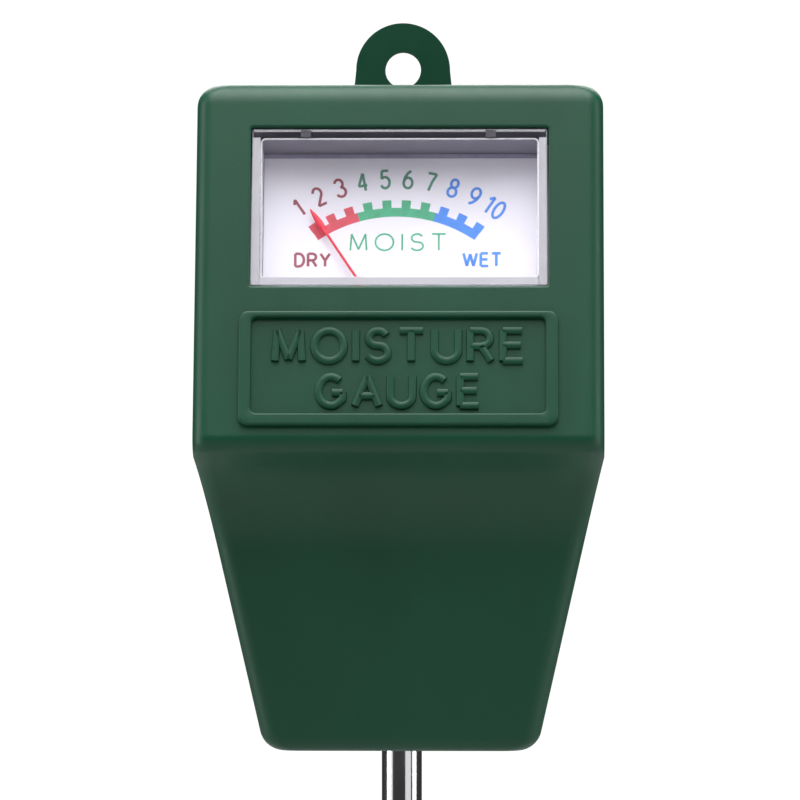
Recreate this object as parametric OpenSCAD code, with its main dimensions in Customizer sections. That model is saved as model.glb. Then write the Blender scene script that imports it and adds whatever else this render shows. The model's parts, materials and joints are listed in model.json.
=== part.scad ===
// Analogue soil moisture meter: a moulded head on one metal probe.
// Millimetres. +Z is up, the face looks along -Y, and the origin is on the
// probe's axis where it leaves the bottom of the head.

/* [Head] */
// Width of the head across its face
head_w = 60; // [58:1:80]
// Height of the head without its hanging tab
head_h = 98.7; // [90:0.1:130]
// Width of the head at its foot
foot_w = 40.4; // [36:0.1:50]
// Height at which the sides stop widening
knee_z = 43.7; // [42:0.1:46]
// Distance from the probe's axis to the rear face
rear_y = 10; // [9:0.5:14]
// Thickness of the moulded walls
wall = 2; // [1.5:0.1:2.4]
// Thickness of the rear cover
cover_t = 2; // [1.6:0.1:3]
// Lean of the face towards the rear
face_tilt = 14.5; // [10:0.5:18]
// Depth of the foot in front of the probe's axis
foot_front = 10; // [9:0.5:12]
// Radius along the front edges
edge_r = 2.5; // [2.4:0.1:3.5]
// Radius of the upper corners
top_corner_r = 3.3; // [2.5:0.1:5]
// Radius of the lower corners
foot_corner_r = 2.8; // [2:0.1:4]
// Radius along the foot's front edge
foot_edge_r = 1.8; // [1:0.1:2.5]
// Radius of the hollow sweep below the face
sweep_r = 18; // [15:0.5:20]

/* [Window and label] */
// Width of the clear cover
window_w = 43.4; // [36:0.2:44]
// Height of the clear cover
window_h = 23.9; // [20:0.1:25]
// Height of the clear cover's lower edge up the face
window_s = 23.6; // [22:0.1:25]
// Wall of the clear cover
pane_t = 1.3; // [1:0.1:1.6]
// Width of the raised label frame
label_w = 46.5; // [36:0.1:50]
// Height of the raised label frame
label_h = 17.1; // [12:0.1:18]
// Height of the label frame above the face
label_rise = 0.9; // [0.5:0.1:1.5]

/* [Hanging tab] */
// Outer radius of the hanging tab
tab_r = 7.1; // [6:0.1:9]
// Diameter of the hanging hole
hang_d = 5.4; // [4:0.1:6]
// Height of the hanging hole above the head
hang_rise = 3.3; // [3.1:0.1:7]

/* [Probe] */
// Length of the probe below the head
probe_len = 180; // [120:5:250]
// Diameter of the probe
probe_d = 6; // [5:0.1:7.2]
// Wall of the probe's tube
tube_t = 0.8; // [0.5:0.1:1]
// Length of the pointed tip electrode
tip_len = 27; // [20:1:40]
// Height of the insulating collar above the tip
collar_h = 3; // [2:0.5:6]
// How much the tube is turned down inside the head, which leaves a shoulder under it
shoulder = 0.25; // [0.2:0.05:0.3]

/* [Movement] */
// Height of the pointer's pivot up the face
pivot_s = 16.9; // [16:0.1:18]
// Length of the pointer from its pivot
pointer_len = 24.4; // [20:0.1:24.4]
// Depth of the dial behind the face
dial_d = 9; // [9:0.1:10]
// Radius of the core magnet
core_r = 6.2; // [5:0.1:6.2]
// Length of the core magnet and yoke
core_len = 8; // [6:0.5:8]
// Angle of the first and last mark from the middle of the scale
scale_half = 33.3; // [30:0.1:36]

/* [Hidden] */
$fn = 48;

// Clearances
slip = 0.05;        // between pieces that are pushed together
run = 0.07;         // around pieces that turn
loose = 0.2;        // around the clear cover in its opening
eps = 0.01;         // overlap of shapes within one piece
seat = 0.5;         // how far a rib or lip is sunk into its plate
far = 60;           // longer than the head is deep, for shapes that are trimmed afterwards

// Colours
green = [0.21, 0.38, 0.31];
dark_green = [0.11, 0.24, 0.17];
steel = [0.72, 0.73, 0.75];
brass = [0.78, 0.64, 0.32];
copper = [0.72, 0.42, 0.22];
white = [0.95, 0.94, 0.97];
black = [0.08, 0.08, 0.09];
clear = [0.85, 0.9, 0.95, 0.35];

// ---------- Head: outline and front curve ----------
lid_y = rear_y - cover_t;          // where the housing ends and the rear cover starts
half_w = head_w / 2;
foot_half = foot_w / 2;
face_y0 = -26;                     // a point on the face near its lower edge
face_z0 = 46.1;
sweep_z = 30;                      // where the sweep leaves the lower front
lower_lean = 7.6;                  // lean of the lower front
sweep_end = 58;                    // steepest lean of the sweep, under the face's edge
sweep_y = -foot_front - sweep_z * tan(lower_lean);
ARC = 7;                           // segments in a rounded edge

// Each point of the front curve is [z, y, lean], with lean 0 for an upright wall.
sweep_pts = [for (i = [0:10]) let (a = lower_lean + (sweep_end - lower_lean) * i / 10)
    [sweep_z + sweep_r * (sin(a) - sin(lower_lean)),
     sweep_y + sweep_r * (cos(a) - cos(lower_lean)), a]];
sweep_top = sweep_pts[len(sweep_pts) - 1];
rim_rise = edge_r * (sin(sweep_end) + sin(face_tilt));
rim_reach = edge_r * (cos(face_tilt) - cos(sweep_end));
// Straight run between the sweep and the rounded rim, so that the rim ends on the face
rim_run = (sweep_top[1] - rim_reach - face_y0 - (sweep_top[0] + rim_rise - face_z0) * tan(face_tilt))
    / (sin(sweep_end) + cos(sweep_end) * tan(face_tilt));
rim_z = sweep_top[0] + rim_run * cos(sweep_end);
rim_y = sweep_top[1] - rim_run * sin(sweep_end);
rim_pts = [for (i = [0:8]) let (a = sweep_end - (sweep_end + face_tilt) * i / 8)
    [rim_z + edge_r * (sin(sweep_end) - sin(a)), rim_y - edge_r * (cos(a) - cos(sweep_end)), a]];
top_y = face_y0 + (head_h - face_z0) * tan(face_tilt);
front_pts = concat([[0, -foot_front, lower_lean]], sweep_pts, rim_pts, [[head_h, top_y, -face_tilt]]);

// The front curve moved inwards by a wall's thickness
function front_curve(inset) = [for (p = front_pts) [p[0] + inset * sin(p[2]), p[1] + inset * cos(p[2])]];
function side_x(z) = z >= knee_z ? half_w : foot_half + (half_w - foot_half) * z / knee_z;
// How far a rounded end of radius r pulls in at distance h from the end
function rounded(r, h) = h >= r ? 0 : r - sqrt(r * r - (r - h) * (r - h));
function arc_levels(r) = [for (i = [0:ARC]) r * (1 - cos(90 * i / ARC))];

function section(z, inset, back, r) =
    let (up = head_h - inset - z, down = z - inset,
         x = side_x(z) - inset - rounded(max(top_corner_r - inset, 0.5), up)
             - rounded(max(foot_corner_r - inset, 0.5), down),
         y = lookup(z, front_curve(inset)) + rounded(max(edge_r - inset, 0.4), up)
             + rounded(max(foot_edge_r - inset, 0.4), down))
    concat([for (i = [0:ARC]) let (a = 90 * i / ARC) [-x + r - r * cos(a), y + r - r * sin(a), z]],
           [for (i = [ARC:-1:0]) let (a = 90 * i / ARC) [x - r + r * cos(a), y + r - r * sin(a), z]],
           [[x, back, z], [-x, back, z]]);

module loft(sections) {
    n = len(sections[0]);
    m = len(sections);
    sides = [for (j = [0:m - 2]) for (i = [0:n - 1]) let (a = j * n + i, b = j * n + (i + 1) % n)
        each [[a, a + n, b], [b, a + n, b + n]]];
    ends = concat([for (i = [1:n - 2]) [0, i, i + 1]],
        [for (i = [1:n - 2]) [(m - 1) * n, (m - 1) * n + i + 1, (m - 1) * n + i]]);
    polyhedron(points = [for (s = sections) each s], faces = concat(sides, ends), convexity = 6);
}

function levels(inset) = let (t = arc_levels(max(top_corner_r - inset, 0.5)),
                              f = arc_levels(max(foot_corner_r - inset, 0.5)))
    concat([for (h = f) inset + h],
           [for (p = front_curve(inset)) if (p[0] > inset + foot_corner_r + 0.5
               && p[0] < head_h - inset - top_corner_r - 0.5) p[0]],
           [for (i = [ARC:-1:0]) head_h - inset - t[i]]);

module head_solid(inset, back) {
    loft([for (z = levels(inset)) section(z, inset, back, max(edge_r - inset, 0.4))]);
}

// Outline of the head seen from the front, moved inwards by inset
function corner_arc(cx, cz, r, from) = [for (i = [0:ARC]) let (a = from + 90 * i / ARC)
    [cx + r * cos(a), cz + r * sin(a)]];
function mirrored(pts) = [for (i = [len(pts) - 1:-1:0]) [-pts[i][0], pts[i][1]]];
function outline_half(inset) =
    let (t = arc_levels(max(top_corner_r - inset, 0.5)), f = arc_levels(max(foot_corner_r - inset, 0.5)))
    concat([for (h = f) [side_x(inset + h) - inset - rounded(max(foot_corner_r - inset, 0.5), h), inset + h]],
           [[side_x(knee_z) - inset, knee_z]],
           [for (i = [ARC:-1:0]) [half_w - inset - rounded(max(top_corner_r - inset, 0.5), t[i]),
               head_h - inset - t[i]]]);
module head_outline(inset) {
    polygon(concat(outline_half(inset), mirrored(outline_half(inset))));
}
// Turns a drawing in X and Z into a plate from y0 to y1
module plate_y(y0, y1) {
    translate([0, y1, 0]) rotate([90, 0, 0]) linear_extrude(y1 - y0) children();
}

// ---------- Frame of the face: X across, Y into the head, Z up the face ----------
module on_face() {
    translate([0, face_y0, face_z0]) rotate([-face_tilt, 0, 0]) children();
}
module at_pivot() {
    on_face() translate([0, 0, pivot_s]) children();
}
// A round bar into the head from depth d0 to d1
module bar(d0, d1, r) {
    translate([0, d0, 0]) rotate([-90, 0, 0]) cylinder(h = d1 - d0, r = r);
}
module tube_bar(d0, d1, r, hole) {
    difference() {
        bar(d0, d1, r);
        bar(d0 - 1, d1 + 1, hole);
    }
}
module box(x0, x1, d0, d1, s0, s1) {
    translate([x0, d0, s0]) cube([x1 - x0, d1 - d0, s1 - s0]);
}
function rounded_rect(w, h, r) = concat(corner_arc(w / 2 - r, h / 2 - r, r, 0),
    corner_arc(-w / 2 + r, h / 2 - r, r, 90), corner_arc(-w / 2 + r, -h / 2 + r, r, 180),
    corner_arc(w / 2 - r, -h / 2 + r, r, 270));
// A cross-slotted screw driven from behind, with the underside of its head at depth d
module screw_from_rear(d, len, shank_r, cap_r, cap_h) {
    slot_d = d + cap_h * 0.55;
    bar(d - len, d, shank_r);
    difference() {
        bar(d, d + cap_h, cap_r);
        box(-cap_r, cap_r, slot_d, d + cap_h + 1, -slot_w / 2, slot_w / 2);
        box(-slot_w / 2, slot_w / 2, slot_d, d + cap_h + 1, -cap_r, cap_r);
    }
}
// A slotted screw driven from the front, with the underside of its head at depth d
module screw_from_front(d, len, shank_r, cap_r, cap_h) {
    bar(d, d + len, shank_r);
    difference() {
        bar(d - cap_h, d, cap_r);
        box(-cap_r, cap_r, d - cap_h - 1, d - cap_h * 0.55, -slot_w / 2, slot_w / 2);
    }
}

// ---------- Derived sizes ----------
probe_r = probe_d / 2;
stem_r = probe_r - shoulder;                  // the tube inside the head
bore_r = probe_r - tube_t;                    // inside of the probe's tube
tip_z = -probe_len;
tip_top = tip_z + tip_len;
tube_end = tip_top + collar_h;
tube_top = 28;
rod_r = bore_r - 0.9;                         // inner conductor
liner_r = bore_r - slip;
groove_r = (stem_r + bore_r) / 2;              // half of the tube's wall is left under the ring
groove_z = [5.9, 7.1];
rib_z = [[3.2, 5.4], [7.6, 9.8]];
top_rib_z = [21, 23];
rib_y = 2;                                    // rear end of the front ribs
cover_rib_y = 2.2;                            // front end of the rear cover's ribs
cover_rib_half = 6;
liner_rise = 2.6;                             // liner above the tube
rod_rise = 5;                                 // conductor above the tube
rod_seat = 5;                                 // conductor inside the tip
strap_t = 0.6;                                // both terminals on the probe
tube_strap_z = 24;
tip_strap_z = tube_top + 3.2;
tip_cone = tip_len - 13;                      // height of the tip's long cone

screw_r = 1.1;                                // rear screws
screw_head_r = 2.2;
boss_r = 2.7;
screw_sink = 1.1;                             // depth of the counterbore
pilot_r = screw_r - 0.2;                      // hole that the screw's thread cuts into
pilot_len = 8;
top_boss = [half_w - wall - boss_r + 0.3, head_h - wall - boss_r - 0.8];
foot_boss_z = 8.2;
foot_boss = [side_x(foot_boss_z) - wall - boss_r + 0.6, foot_boss_z];
boss_spots = [[top_boss[0], top_boss[1]], [-top_boss[0], top_boss[1]],
    [foot_boss[0], foot_boss[1]], [-foot_boss[0], foot_boss[1]]];

window_top = window_s + window_h;
base_d = dial_d + 0.5;                        // front of the meter base, behind the dial
base_t = 1.6;
base_back = base_d + base_t;
base_half = half_w - wall - 0.8;
ear_x = base_half - 2.6;
ear_s = [14, 42];
ear_plate = [10, 46];                         // lower and upper end of the base's side plates
ear_r = 2.2;
ear_pilot_r = 0.8;
base_low = 7;
chamber_low = 8;                              // lower end of the clear cover's hidden part
chamber_d = wall + 0.4;                       // front of that part, just behind the face
pane_d = 0.3;                                 // front of the window, just inside the face
inner_half = window_w / 2 - pane_t;
label_low = 2.3;                              // lower edge of the label frame up the face
label_s = label_low + label_h / 2;
label_root = 0.6;                             // how far the frame is sunk into the face
dial_low = 20.2;
dial_screw_x = 16;
dial_screw_s = 22.3;
dial_thread_r = 0.6;
terminal_x = 17;
terminal_s = 36;
terminal_r = 0.8;
resistor_len = 6.3;
resistor_r = 1.15;
resistor_back = 2.2;                          // from the base to the resistor's axis
wire_r = 0.3;
stop_r = 11.5;
stop_turn = scale_half + 9;
stop_pin_r = 0.4;

core_d = [base_back + 0.2, base_back + 0.2 + core_len];
yoke_in = core_r + 3.3;
yoke_out = yoke_in + 1.3;
cup_out = yoke_out + slip + 1.5;
coil_inner = [core_r + 0.35, core_d[0] - 0.4, core_d[1] + 0.4];
former_t = 0.35;
wind_t = 0.9;
former_half_w = 1.5;
wind_half_w = 1.2;
coil_front = coil_inner[1] - former_t - wind_t;
coil_back = coil_inner[2] + former_t + wind_t;

pointer_d = dial_d - 1.35;                    // front of the pointer's blade
blade_t = 0.3;
shaft_r = 0.4;
spring_r = 4.6;
front_spring_d = dial_d - 0.6;
rear_spring_d = coil_back + 0.75;
bridge_t = 1;
bridge_d = dial_d - 4.4;                      // front bridge
rear_bridge_d = coil_back + 2.25;
pillar_x = 11;
rear_pillar_x = cup_out + 0.8;
jewel_screw_r = 1.4;
jewel_r = 0.9;
jewel_t = 0.8;
jewel_sink = 0.4;                             // how far a jewel sits in its screw
cup_depth = 0.5;
pivot_play = 0.1;                             // end play of each pivot in its cup
pivot_cone = 0.4;
pivot_plate_t = 0.35;
front_seat = bridge_d + bridge_t + 0.8;        // rear end of the front jewel screw
rear_seat = rear_bridge_d - 0.5;               // front end of the rear jewel screw
bridge_thread_r = 0.6;
pillar_r = 1.6;
slot_w = 0.4;                                 // screwdriver slots
post_r = 5;                                   // distance of the hairsprings' outer ends
post_pin_r = 0.3;
anchor_t = 0.35;
lever_t = 0.4;
weight_at = 2.6;                              // tail weight, below the pivot
tail_weight_h = 1.15;
arm_weight_x = 2.7;
hub_r = 1.2;
collet_r = 1;
spring_in = 0.95;                             // inner radius of the hairsprings
spring_half_t = 0.06;
spring_w = 0.3;
SPIRAL_TURNS = 3;
SPIRAL_STEPS = 60;
rest_turn = -scale_half;

tab_flare = 0.3;                              // the tab is this much wider at its root, each side
tab_root = 3;                                 // how far the tab runs down into the cover's plate
TAB_STEPS = 32;
lip_t = 1.2;                                  // lip inside the rear cover's edge
lip_gap = 0.15;
lip_h = 2;

lead_r = 0.6;
LEAD_SIDES = 8;
// Points along each lead, from its terminal on the probe to the one on the meter
tube_route = [[-6, 0, 24.7], [-6, 0, 27], [-9, 1, 34], [-13, 2, 41], [-17, 2, 49],
    [-20, 1, 57], [-20.5, -1, 65], [-19.5, -1.5, 72], [-17, -2, 76.4]];
tip_route = [[4.6, 0, 31.9], [7, 0, 34], [10, 1, 38], [14, 2, 44], [18, 2, 51],
    [20, 1, 58], [20.5, -1, 66], [19.5, -1.5, 72], [17, -2, 76.4]];

// ---------- Head ----------
// A rib across the head with a notch, open to the rear, that holds the tube
module probe_seat(z) {
    difference() {
        translate([-half_w, -far, z[0]]) cube([2 * half_w, far + rib_y, z[1] - z[0]]);
        translate([0, 0, z[0] - 1]) cylinder(h = z[1] - z[0] + 2, r = stem_r + slip);
        translate([-stem_r - slip, 0, z[0] - 1])
            cube([2 * (stem_r + slip), rib_y + 1, z[1] - z[0] + 2]);
    }
}

module front_housing() {
    color(green) {
        difference() {
            union() {
                difference() {
                    head_solid(0, lid_y);
                    head_solid(wall, lid_y + 5);
                }
                intersection() {
                    head_solid(wall / 2, lid_y);
                    for (b = boss_spots) translate([b[0], lid_y, b[1]]) rotate([90, 0, 0])
                        cylinder(h = far, r = boss_r);
                }
                intersection() {
                    head_solid(wall / 2, lid_y);
                    union() {
                        for (z = rib_z) probe_seat(z);
                        probe_seat(top_rib_z);
                    }
                }
                on_face() for (x = [-ear_x, ear_x]) for (s = ear_s) translate([x, 0, s])
                    bar(wall - 0.4, base_d, ear_r);
                on_face() translate([0, 0, label_s]) rotate([90, 0, 0])
                    translate([0, 0, -label_root]) linear_extrude(label_rise + label_root) difference() {
                        polygon(rounded_rect(label_w, label_h, 1.3));
                        translate([0, 0.4]) polygon(rounded_rect(label_w - 3.5, label_h - 2.6, 0.9));
                    }
            }
            on_face() box(-window_w / 2 - loose, window_w / 2 + loose, -5, wall + 2,
                window_s - loose, window_top + loose);
            on_face() for (x = [-ear_x, ear_x]) for (s = ear_s) translate([x, 0, s])
                bar(wall + 0.8, base_d + 1, ear_pilot_r);
            for (b = boss_spots) translate([b[0], lid_y + 1, b[1]]) rotate([90, 0, 0])
                cylinder(h = pilot_len + 1, r = pilot_r);
            translate([0, 0, -1]) cylinder(h = wall + 2, r = stem_r + slip);
        }
    }
}

module rear_cover() {
    color(dark_green) difference() {
        union() {
            plate_y(lid_y, rear_y) head_outline(0);
            plate_y(lid_y, rear_y) polygon(concat(
                [[-tab_r - tab_flare, head_h - tab_root], [tab_r + tab_flare, head_h - tab_root]],
                [for (i = [0:TAB_STEPS]) let (a = 180 * i / TAB_STEPS)
                    [tab_r * cos(a), head_h + hang_rise + tab_r * sin(a)]]));
            difference() {
                plate_y(lid_y - lip_h, lid_y + seat) difference() {
                    head_outline(wall + lip_gap);
                    head_outline(wall + lip_gap + lip_t);
                }
                for (b = boss_spots) translate([b[0], rear_y, b[1]]) rotate([90, 0, 0])
                    cylinder(h = 12, r = boss_r + 0.3);
            }
            for (z = rib_z) difference() {
                translate([-cover_rib_half, cover_rib_y, z[0]])
                    cube([2 * cover_rib_half, lid_y - cover_rib_y + seat, z[1] - z[0]]);
                cylinder(h = far, r = stem_r + slip);
            }
        }
        for (b = boss_spots) {
            translate([b[0], rear_y + 1, b[1]]) rotate([90, 0, 0]) cylinder(h = 12, r = screw_r + 0.2);
            translate([b[0], rear_y + 1, b[1]]) rotate([90, 0, 0])
                cylinder(h = 1 + screw_sink, r = screw_head_r + 0.2);
        }
        translate([0, rear_y + 1, head_h + hang_rise]) rotate([90, 0, 0])
            cylinder(h = cover_t + 2, r = hang_d / 2, $fn = 96);
    }
}

module rear_screws() {
    color(steel) for (b = boss_spots) translate([b[0], 0, b[1]])
        screw_from_rear(rear_y - screw_sink, 7, pilot_r, screw_head_r, 0.9);
}

// ---------- Meter ----------
module meter_cover() {
    color(clear) on_face() difference() {
        union() {
            box(-window_w / 2, window_w / 2, pane_d, base_d, window_s, window_top);
            box(-window_w / 2, window_w / 2, chamber_d, base_d, chamber_low, window_s + 2);
        }
        box(-inner_half, inner_half, pane_d + pane_t, base_d + 1, window_s + pane_t, window_top - pane_t);
        box(-inner_half, inner_half, chamber_d + pane_t, base_d + 1, chamber_low + pane_t,
            window_s + pane_t + 1);
    }
}

module meter_base() {
    color([0.86, 0.86, 0.84]) on_face() difference() {
        union() {
            box(-window_w / 2 - 0.3, window_w / 2 + 0.3, base_d, base_back, base_low, window_top + 0.3);
            box(-base_half, base_half, base_d, base_back, ear_plate[0], ear_plate[1]);
            translate([0, 0, pivot_s]) bar(base_d, core_d[1] + 0.6, cup_out);
            for (x = [-pillar_x, pillar_x]) translate([x, 0, pivot_s])
                bar(bridge_d + bridge_t, base_back, pillar_r);
            for (x = [-rear_pillar_x, rear_pillar_x]) translate([x, 0, pivot_s])
                bar(base_d, rear_bridge_d, pillar_r);
        }
        difference() {
            translate([0, 0, pivot_s]) bar(base_d - 1, base_back + 0.1, yoke_in + 0.2);
            for (x = [-pillar_x, pillar_x]) translate([x, 0, pivot_s])
                bar(base_d - 2, base_back + 1, pillar_r + 0.4);
        }
        translate([0, 0, pivot_s]) bar(base_back + 0.1, core_d[1] + 5, yoke_out + slip);
        for (x = [-pillar_x, pillar_x]) translate([x, 0, pivot_s])
            bar(bridge_d, bridge_d + 4, bridge_thread_r);
        for (x = [-rear_pillar_x, rear_pillar_x]) translate([x, 0, pivot_s])
            bar(rear_bridge_d - 3, rear_bridge_d + 1, bridge_thread_r);
        for (x = [-ear_x, ear_x]) for (s = ear_s) translate([x, 0, s])
            bar(base_d - 1, base_back + 1, 1.2);
        for (x = [-dial_screw_x, dial_screw_x]) translate([x, 0, dial_screw_s])
            bar(base_d - 1, base_back + 1, dial_thread_r);
        for (x = [-terminal_x, terminal_x]) translate([x, 0, terminal_s])
            bar(base_d - 1, base_back + 1, terminal_r);
        for (a = [-stop_turn, stop_turn]) translate([0, 0, pivot_s]) rotate([0, a, 0])
            translate([0, 0, stop_r]) bar(base_d - 1, base_back + 1, stop_pin_r);
    }
}

module dial_plate() {
    color(white) on_face() difference() {
        box(-inner_half + 0.1, inner_half - 0.1, dial_d, base_d, dial_low, window_top - pane_t - 0.1);
        translate([0, 0, pivot_s]) bar(dial_d - 1, base_d + 1, post_r);
        for (x = [-dial_screw_x, dial_screw_x]) translate([x, 0, dial_screw_s])
            bar(dial_d - 1, base_d + 1, dial_thread_r + 0.2);
        for (a = [-stop_turn, stop_turn]) translate([0, 0, pivot_s]) rotate([0, a, 0])
            translate([0, 0, stop_r]) bar(dial_d - 1, base_d + 1, stop_pin_r + 0.1);
        for (x = [-pillar_x, pillar_x]) translate([x, 0, pivot_s])
            bar(dial_d - 1, base_d + 1, pillar_r + 0.2);
    }
}

module dial_screws() {
    color(steel) on_face() for (x = [-dial_screw_x, dial_screw_x]) translate([x, 0, dial_screw_s])
        screw_from_front(dial_d, 2, dial_thread_r, 1.3, 0.5);
}

module module_screws() {
    color(steel) on_face() for (x = [-ear_x, ear_x]) for (s = ear_s) translate([x, 0, s])
        screw_from_rear(base_back, 6, ear_pilot_r, 2, 1.2);
}

module yoke_ring() {
    color([0.45, 0.46, 0.48]) at_pivot() tube_bar(core_d[0], core_d[1], yoke_out, yoke_in);
}

module core_magnet() {
    color([0.3, 0.3, 0.32]) at_pivot() bar(core_d[0], core_d[1], core_r);
}

module core_spacers() {
    mid = (core_d[0] + core_d[1]) / 2;
    color(brass) at_pivot() intersection() {
        tube_bar(mid - 1.5, mid + 1.5, yoke_in, core_r);
        union() {
            box(core_r - 1, yoke_in + 1, mid - 2, mid + 2, -1.2, 1.2);
            box(-yoke_in - 1, -core_r + 1, mid - 2, mid + 2, -1.2, 1.2);
        }
    }
}

module bridge(d0, reach, screw_x) {
    color(brass) at_pivot() difference() {
        union() {
            box(-reach, reach, d0, d0 + bridge_t, -1.8, 1.8);
            bar(d0, d0 + bridge_t, 3);
        }
        bar(d0 - 1, d0 + bridge_t + 1, jewel_screw_r);
        for (x = [-screw_x, screw_x]) translate([x, 0, 0]) bar(d0 - 1, d0 + bridge_t + 1, 0.8);
    }
}
module front_bridge() {
    bridge(bridge_d, pillar_x + 1.8, pillar_x);
}
module rear_bridge() {
    bridge(rear_bridge_d, rear_pillar_x + 1.8, rear_pillar_x);
}

module bridge_screws() {
    color(steel) at_pivot() {
        for (x = [-pillar_x, pillar_x]) translate([x, 0, 0])
            screw_from_front(bridge_d, 3.6, bridge_thread_r, 1.4, 0.5);
        for (x = [-rear_pillar_x, rear_pillar_x]) translate([x, 0, 0])
            screw_from_rear(rear_bridge_d + bridge_t, 3.6, bridge_thread_r, 1.4, 0.8);
    }
}

module front_jewel_screw() {
    color(brass) at_pivot() difference() {
        bar(bridge_d - 0.4, front_seat, jewel_screw_r);
        bar(front_seat - jewel_sink, front_seat + 1, jewel_r);
        box(-2, 2, bridge_d - 1, bridge_d - 0.15, -slot_w / 2, slot_w / 2);
    }
}
module rear_jewel_screw() {
    color(brass) at_pivot() difference() {
        bar(rear_seat, rear_bridge_d + bridge_t + 1.4, jewel_screw_r);
        bar(rear_seat - 1, rear_seat + jewel_sink, jewel_r);
        box(-2, 2, rear_bridge_d + bridge_t + 1, rear_bridge_d + bridge_t + 3,
            -slot_w / 2, slot_w / 2);
    }
}
module jewel_locknuts() {
    color(brass) at_pivot() translate([0, rear_bridge_d + bridge_t, 0]) rotate([-90, 0, 0])
        difference() {
            cylinder(h = 0.9, r = 2.6, $fn = 6);
            translate([0, 0, -1]) cylinder(h = 3, r = jewel_screw_r);
        }
}

// A jewel with a cone-shaped cup, whose open side looks along +Y
module jewel() {
    rotate([-90, 0, 0]) difference() {
        cylinder(h = jewel_t, r = jewel_r);
        translate([0, 0, jewel_t - cup_depth]) cylinder(h = cup_depth + eps, r1 = 0.12, r2 = 0.5);
    }
}
module front_jewel() {
    color("crimson") at_pivot() translate([0, front_seat - jewel_sink, 0]) jewel();
}
module rear_jewel() {
    color("crimson") at_pivot() translate([0, rear_seat + jewel_sink, 0]) mirror([0, 1, 0]) jewel();
}

module rear_spring_anchor() {
    color(brass) at_pivot() difference() {
        union() {
            bar(rear_bridge_d - anchor_t, rear_bridge_d, 2.6);
            box(-0.7, 0.7, rear_bridge_d - anchor_t, rear_bridge_d, -post_r - 0.6, 0);
            translate([0, 0, -post_r]) bar(rear_spring_d - 0.1, rear_bridge_d, post_pin_r);
        }
        bar(rear_bridge_d - 1, rear_bridge_d + 1, jewel_screw_r);
    }
}

module pointer_stops() {
    color(steel) at_pivot() for (a = [-stop_turn, stop_turn]) rotate([0, a, 0])
        translate([0, 0, stop_r]) bar(pointer_d - 0.4, base_back, stop_pin_r);
}

module zero_lever() {
    lever_d = bridge_d + bridge_t + 0.1;
    color(brass) at_pivot() difference() {
        union() {
            bar(lever_d, lever_d + lever_t, 2.5);
            box(-0.7, 0.7, lever_d, lever_d + lever_t, -post_r - 1.2, 0);
            translate([0, 0, -post_r]) bar(lever_d, front_spring_d + 0.35, post_pin_r);
        }
        bar(lever_d - 1, lever_d + 1, jewel_screw_r + run);
    }
}

// ---------- Moving coil and pointer ----------
module at_rest() {
    at_pivot() rotate([0, rest_turn, 0]) children();
}
module pointer() {
    color([0.9, 0.18, 0.25]) at_rest() difference() {
        union() {
            bar(pointer_d - 0.15, pointer_d + blade_t + 0.15, hub_r);
            translate([0, pointer_d + blade_t, 0]) rotate([90, 0, 0]) linear_extrude(blade_t)
                polygon([[-0.32, 0], [-0.2, pointer_len - 0.8], [0, pointer_len],
                    [0.2, pointer_len - 0.8], [0.32, 0]]);
            box(-3.4, 3.4, pointer_d, pointer_d + blade_t, -0.35, 0.35);
            box(-0.35, 0.35, pointer_d, pointer_d + blade_t, -3.6, 0);
        }
        bar(pointer_d - 1, pointer_d + 2, shaft_r);
    }
}
module balance_weights() {
    color(steel) at_rest() {
        translate([0, 0, -weight_at]) bar(pointer_d - tail_weight_h, pointer_d, 1.1);
        for (x = [-arm_weight_x, arm_weight_x]) translate([x, 0, 0])
            bar(pointer_d - 0.5, pointer_d, 0.6);
    }
}

module coil_loop(x_in, d_in, t, half) {
    difference() {
        box(-half, half, d_in[0] - t, d_in[1] + t, -x_in - t, x_in + t);
        box(-half - 1, half + 1, d_in[0], d_in[1], -x_in, x_in);
    }
}
module coil_former() {
    color([0.75, 0.76, 0.78]) at_rest()
        coil_loop(coil_inner[0], [coil_inner[1], coil_inner[2]], former_t, former_half_w);
}
module coil_winding() {
    color(copper) at_rest() coil_loop(coil_inner[0] + former_t,
        [coil_inner[1] - former_t, coil_inner[2] + former_t], wind_t, wind_half_w);
}
module front_pivot() {
    tip = front_seat - jewel_sink + jewel_t - cup_depth + pivot_play;
    color(steel) at_rest() {
        bar(coil_front - pivot_plate_t, coil_front, hub_r);
        bar(tip + pivot_cone, coil_front - pivot_plate_t + eps, shaft_r);
        translate([0, tip, 0]) rotate([-90, 0, 0])
            cylinder(h = pivot_cone + eps, r1 = 0.05, r2 = 0.3);
    }
}
module rear_pivot() {
    tip = rear_seat + jewel_sink - jewel_t + cup_depth - pivot_play;
    color(steel) at_rest() {
        bar(coil_back, coil_back + pivot_plate_t, hub_r);
        bar(coil_back + pivot_plate_t - eps, tip - pivot_cone, shaft_r);
        translate([0, tip - pivot_cone - eps, 0]) rotate([-90, 0, 0])
            cylinder(h = pivot_cone + eps, r1 = 0.3, r2 = 0.05);
    }
}

function spiral(shift) = [for (i = [0:SPIRAL_STEPS])
    let (a = 360 * SPIRAL_TURNS * i / SPIRAL_STEPS,
         r = spring_in + (spring_r - spring_in) * i / SPIRAL_STEPS + shift)
    [r * sin(a + 180), r * cos(a + 180)]];
// A flat hairspring on a collet, with its outer end straight below the pivot
module hairspring(d0) {
    at_pivot() difference() {
        union() {
            translate([0, d0 + spring_w, 0]) rotate([90, 0, 0]) linear_extrude(spring_w)
                polygon(concat(spiral(-spring_half_t),
                    [for (i = [SPIRAL_STEPS:-1:0]) spiral(spring_half_t)[i]]));
            bar(d0 - 0.1, d0 + spring_w + 0.1, collet_r);
        }
        bar(d0 - 1, d0 + 1, shaft_r);
    }
}
module front_hairspring() {
    color(brass) hairspring(front_spring_d);
}
module rear_hairspring() {
    color(brass) hairspring(rear_spring_d);
}

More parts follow.
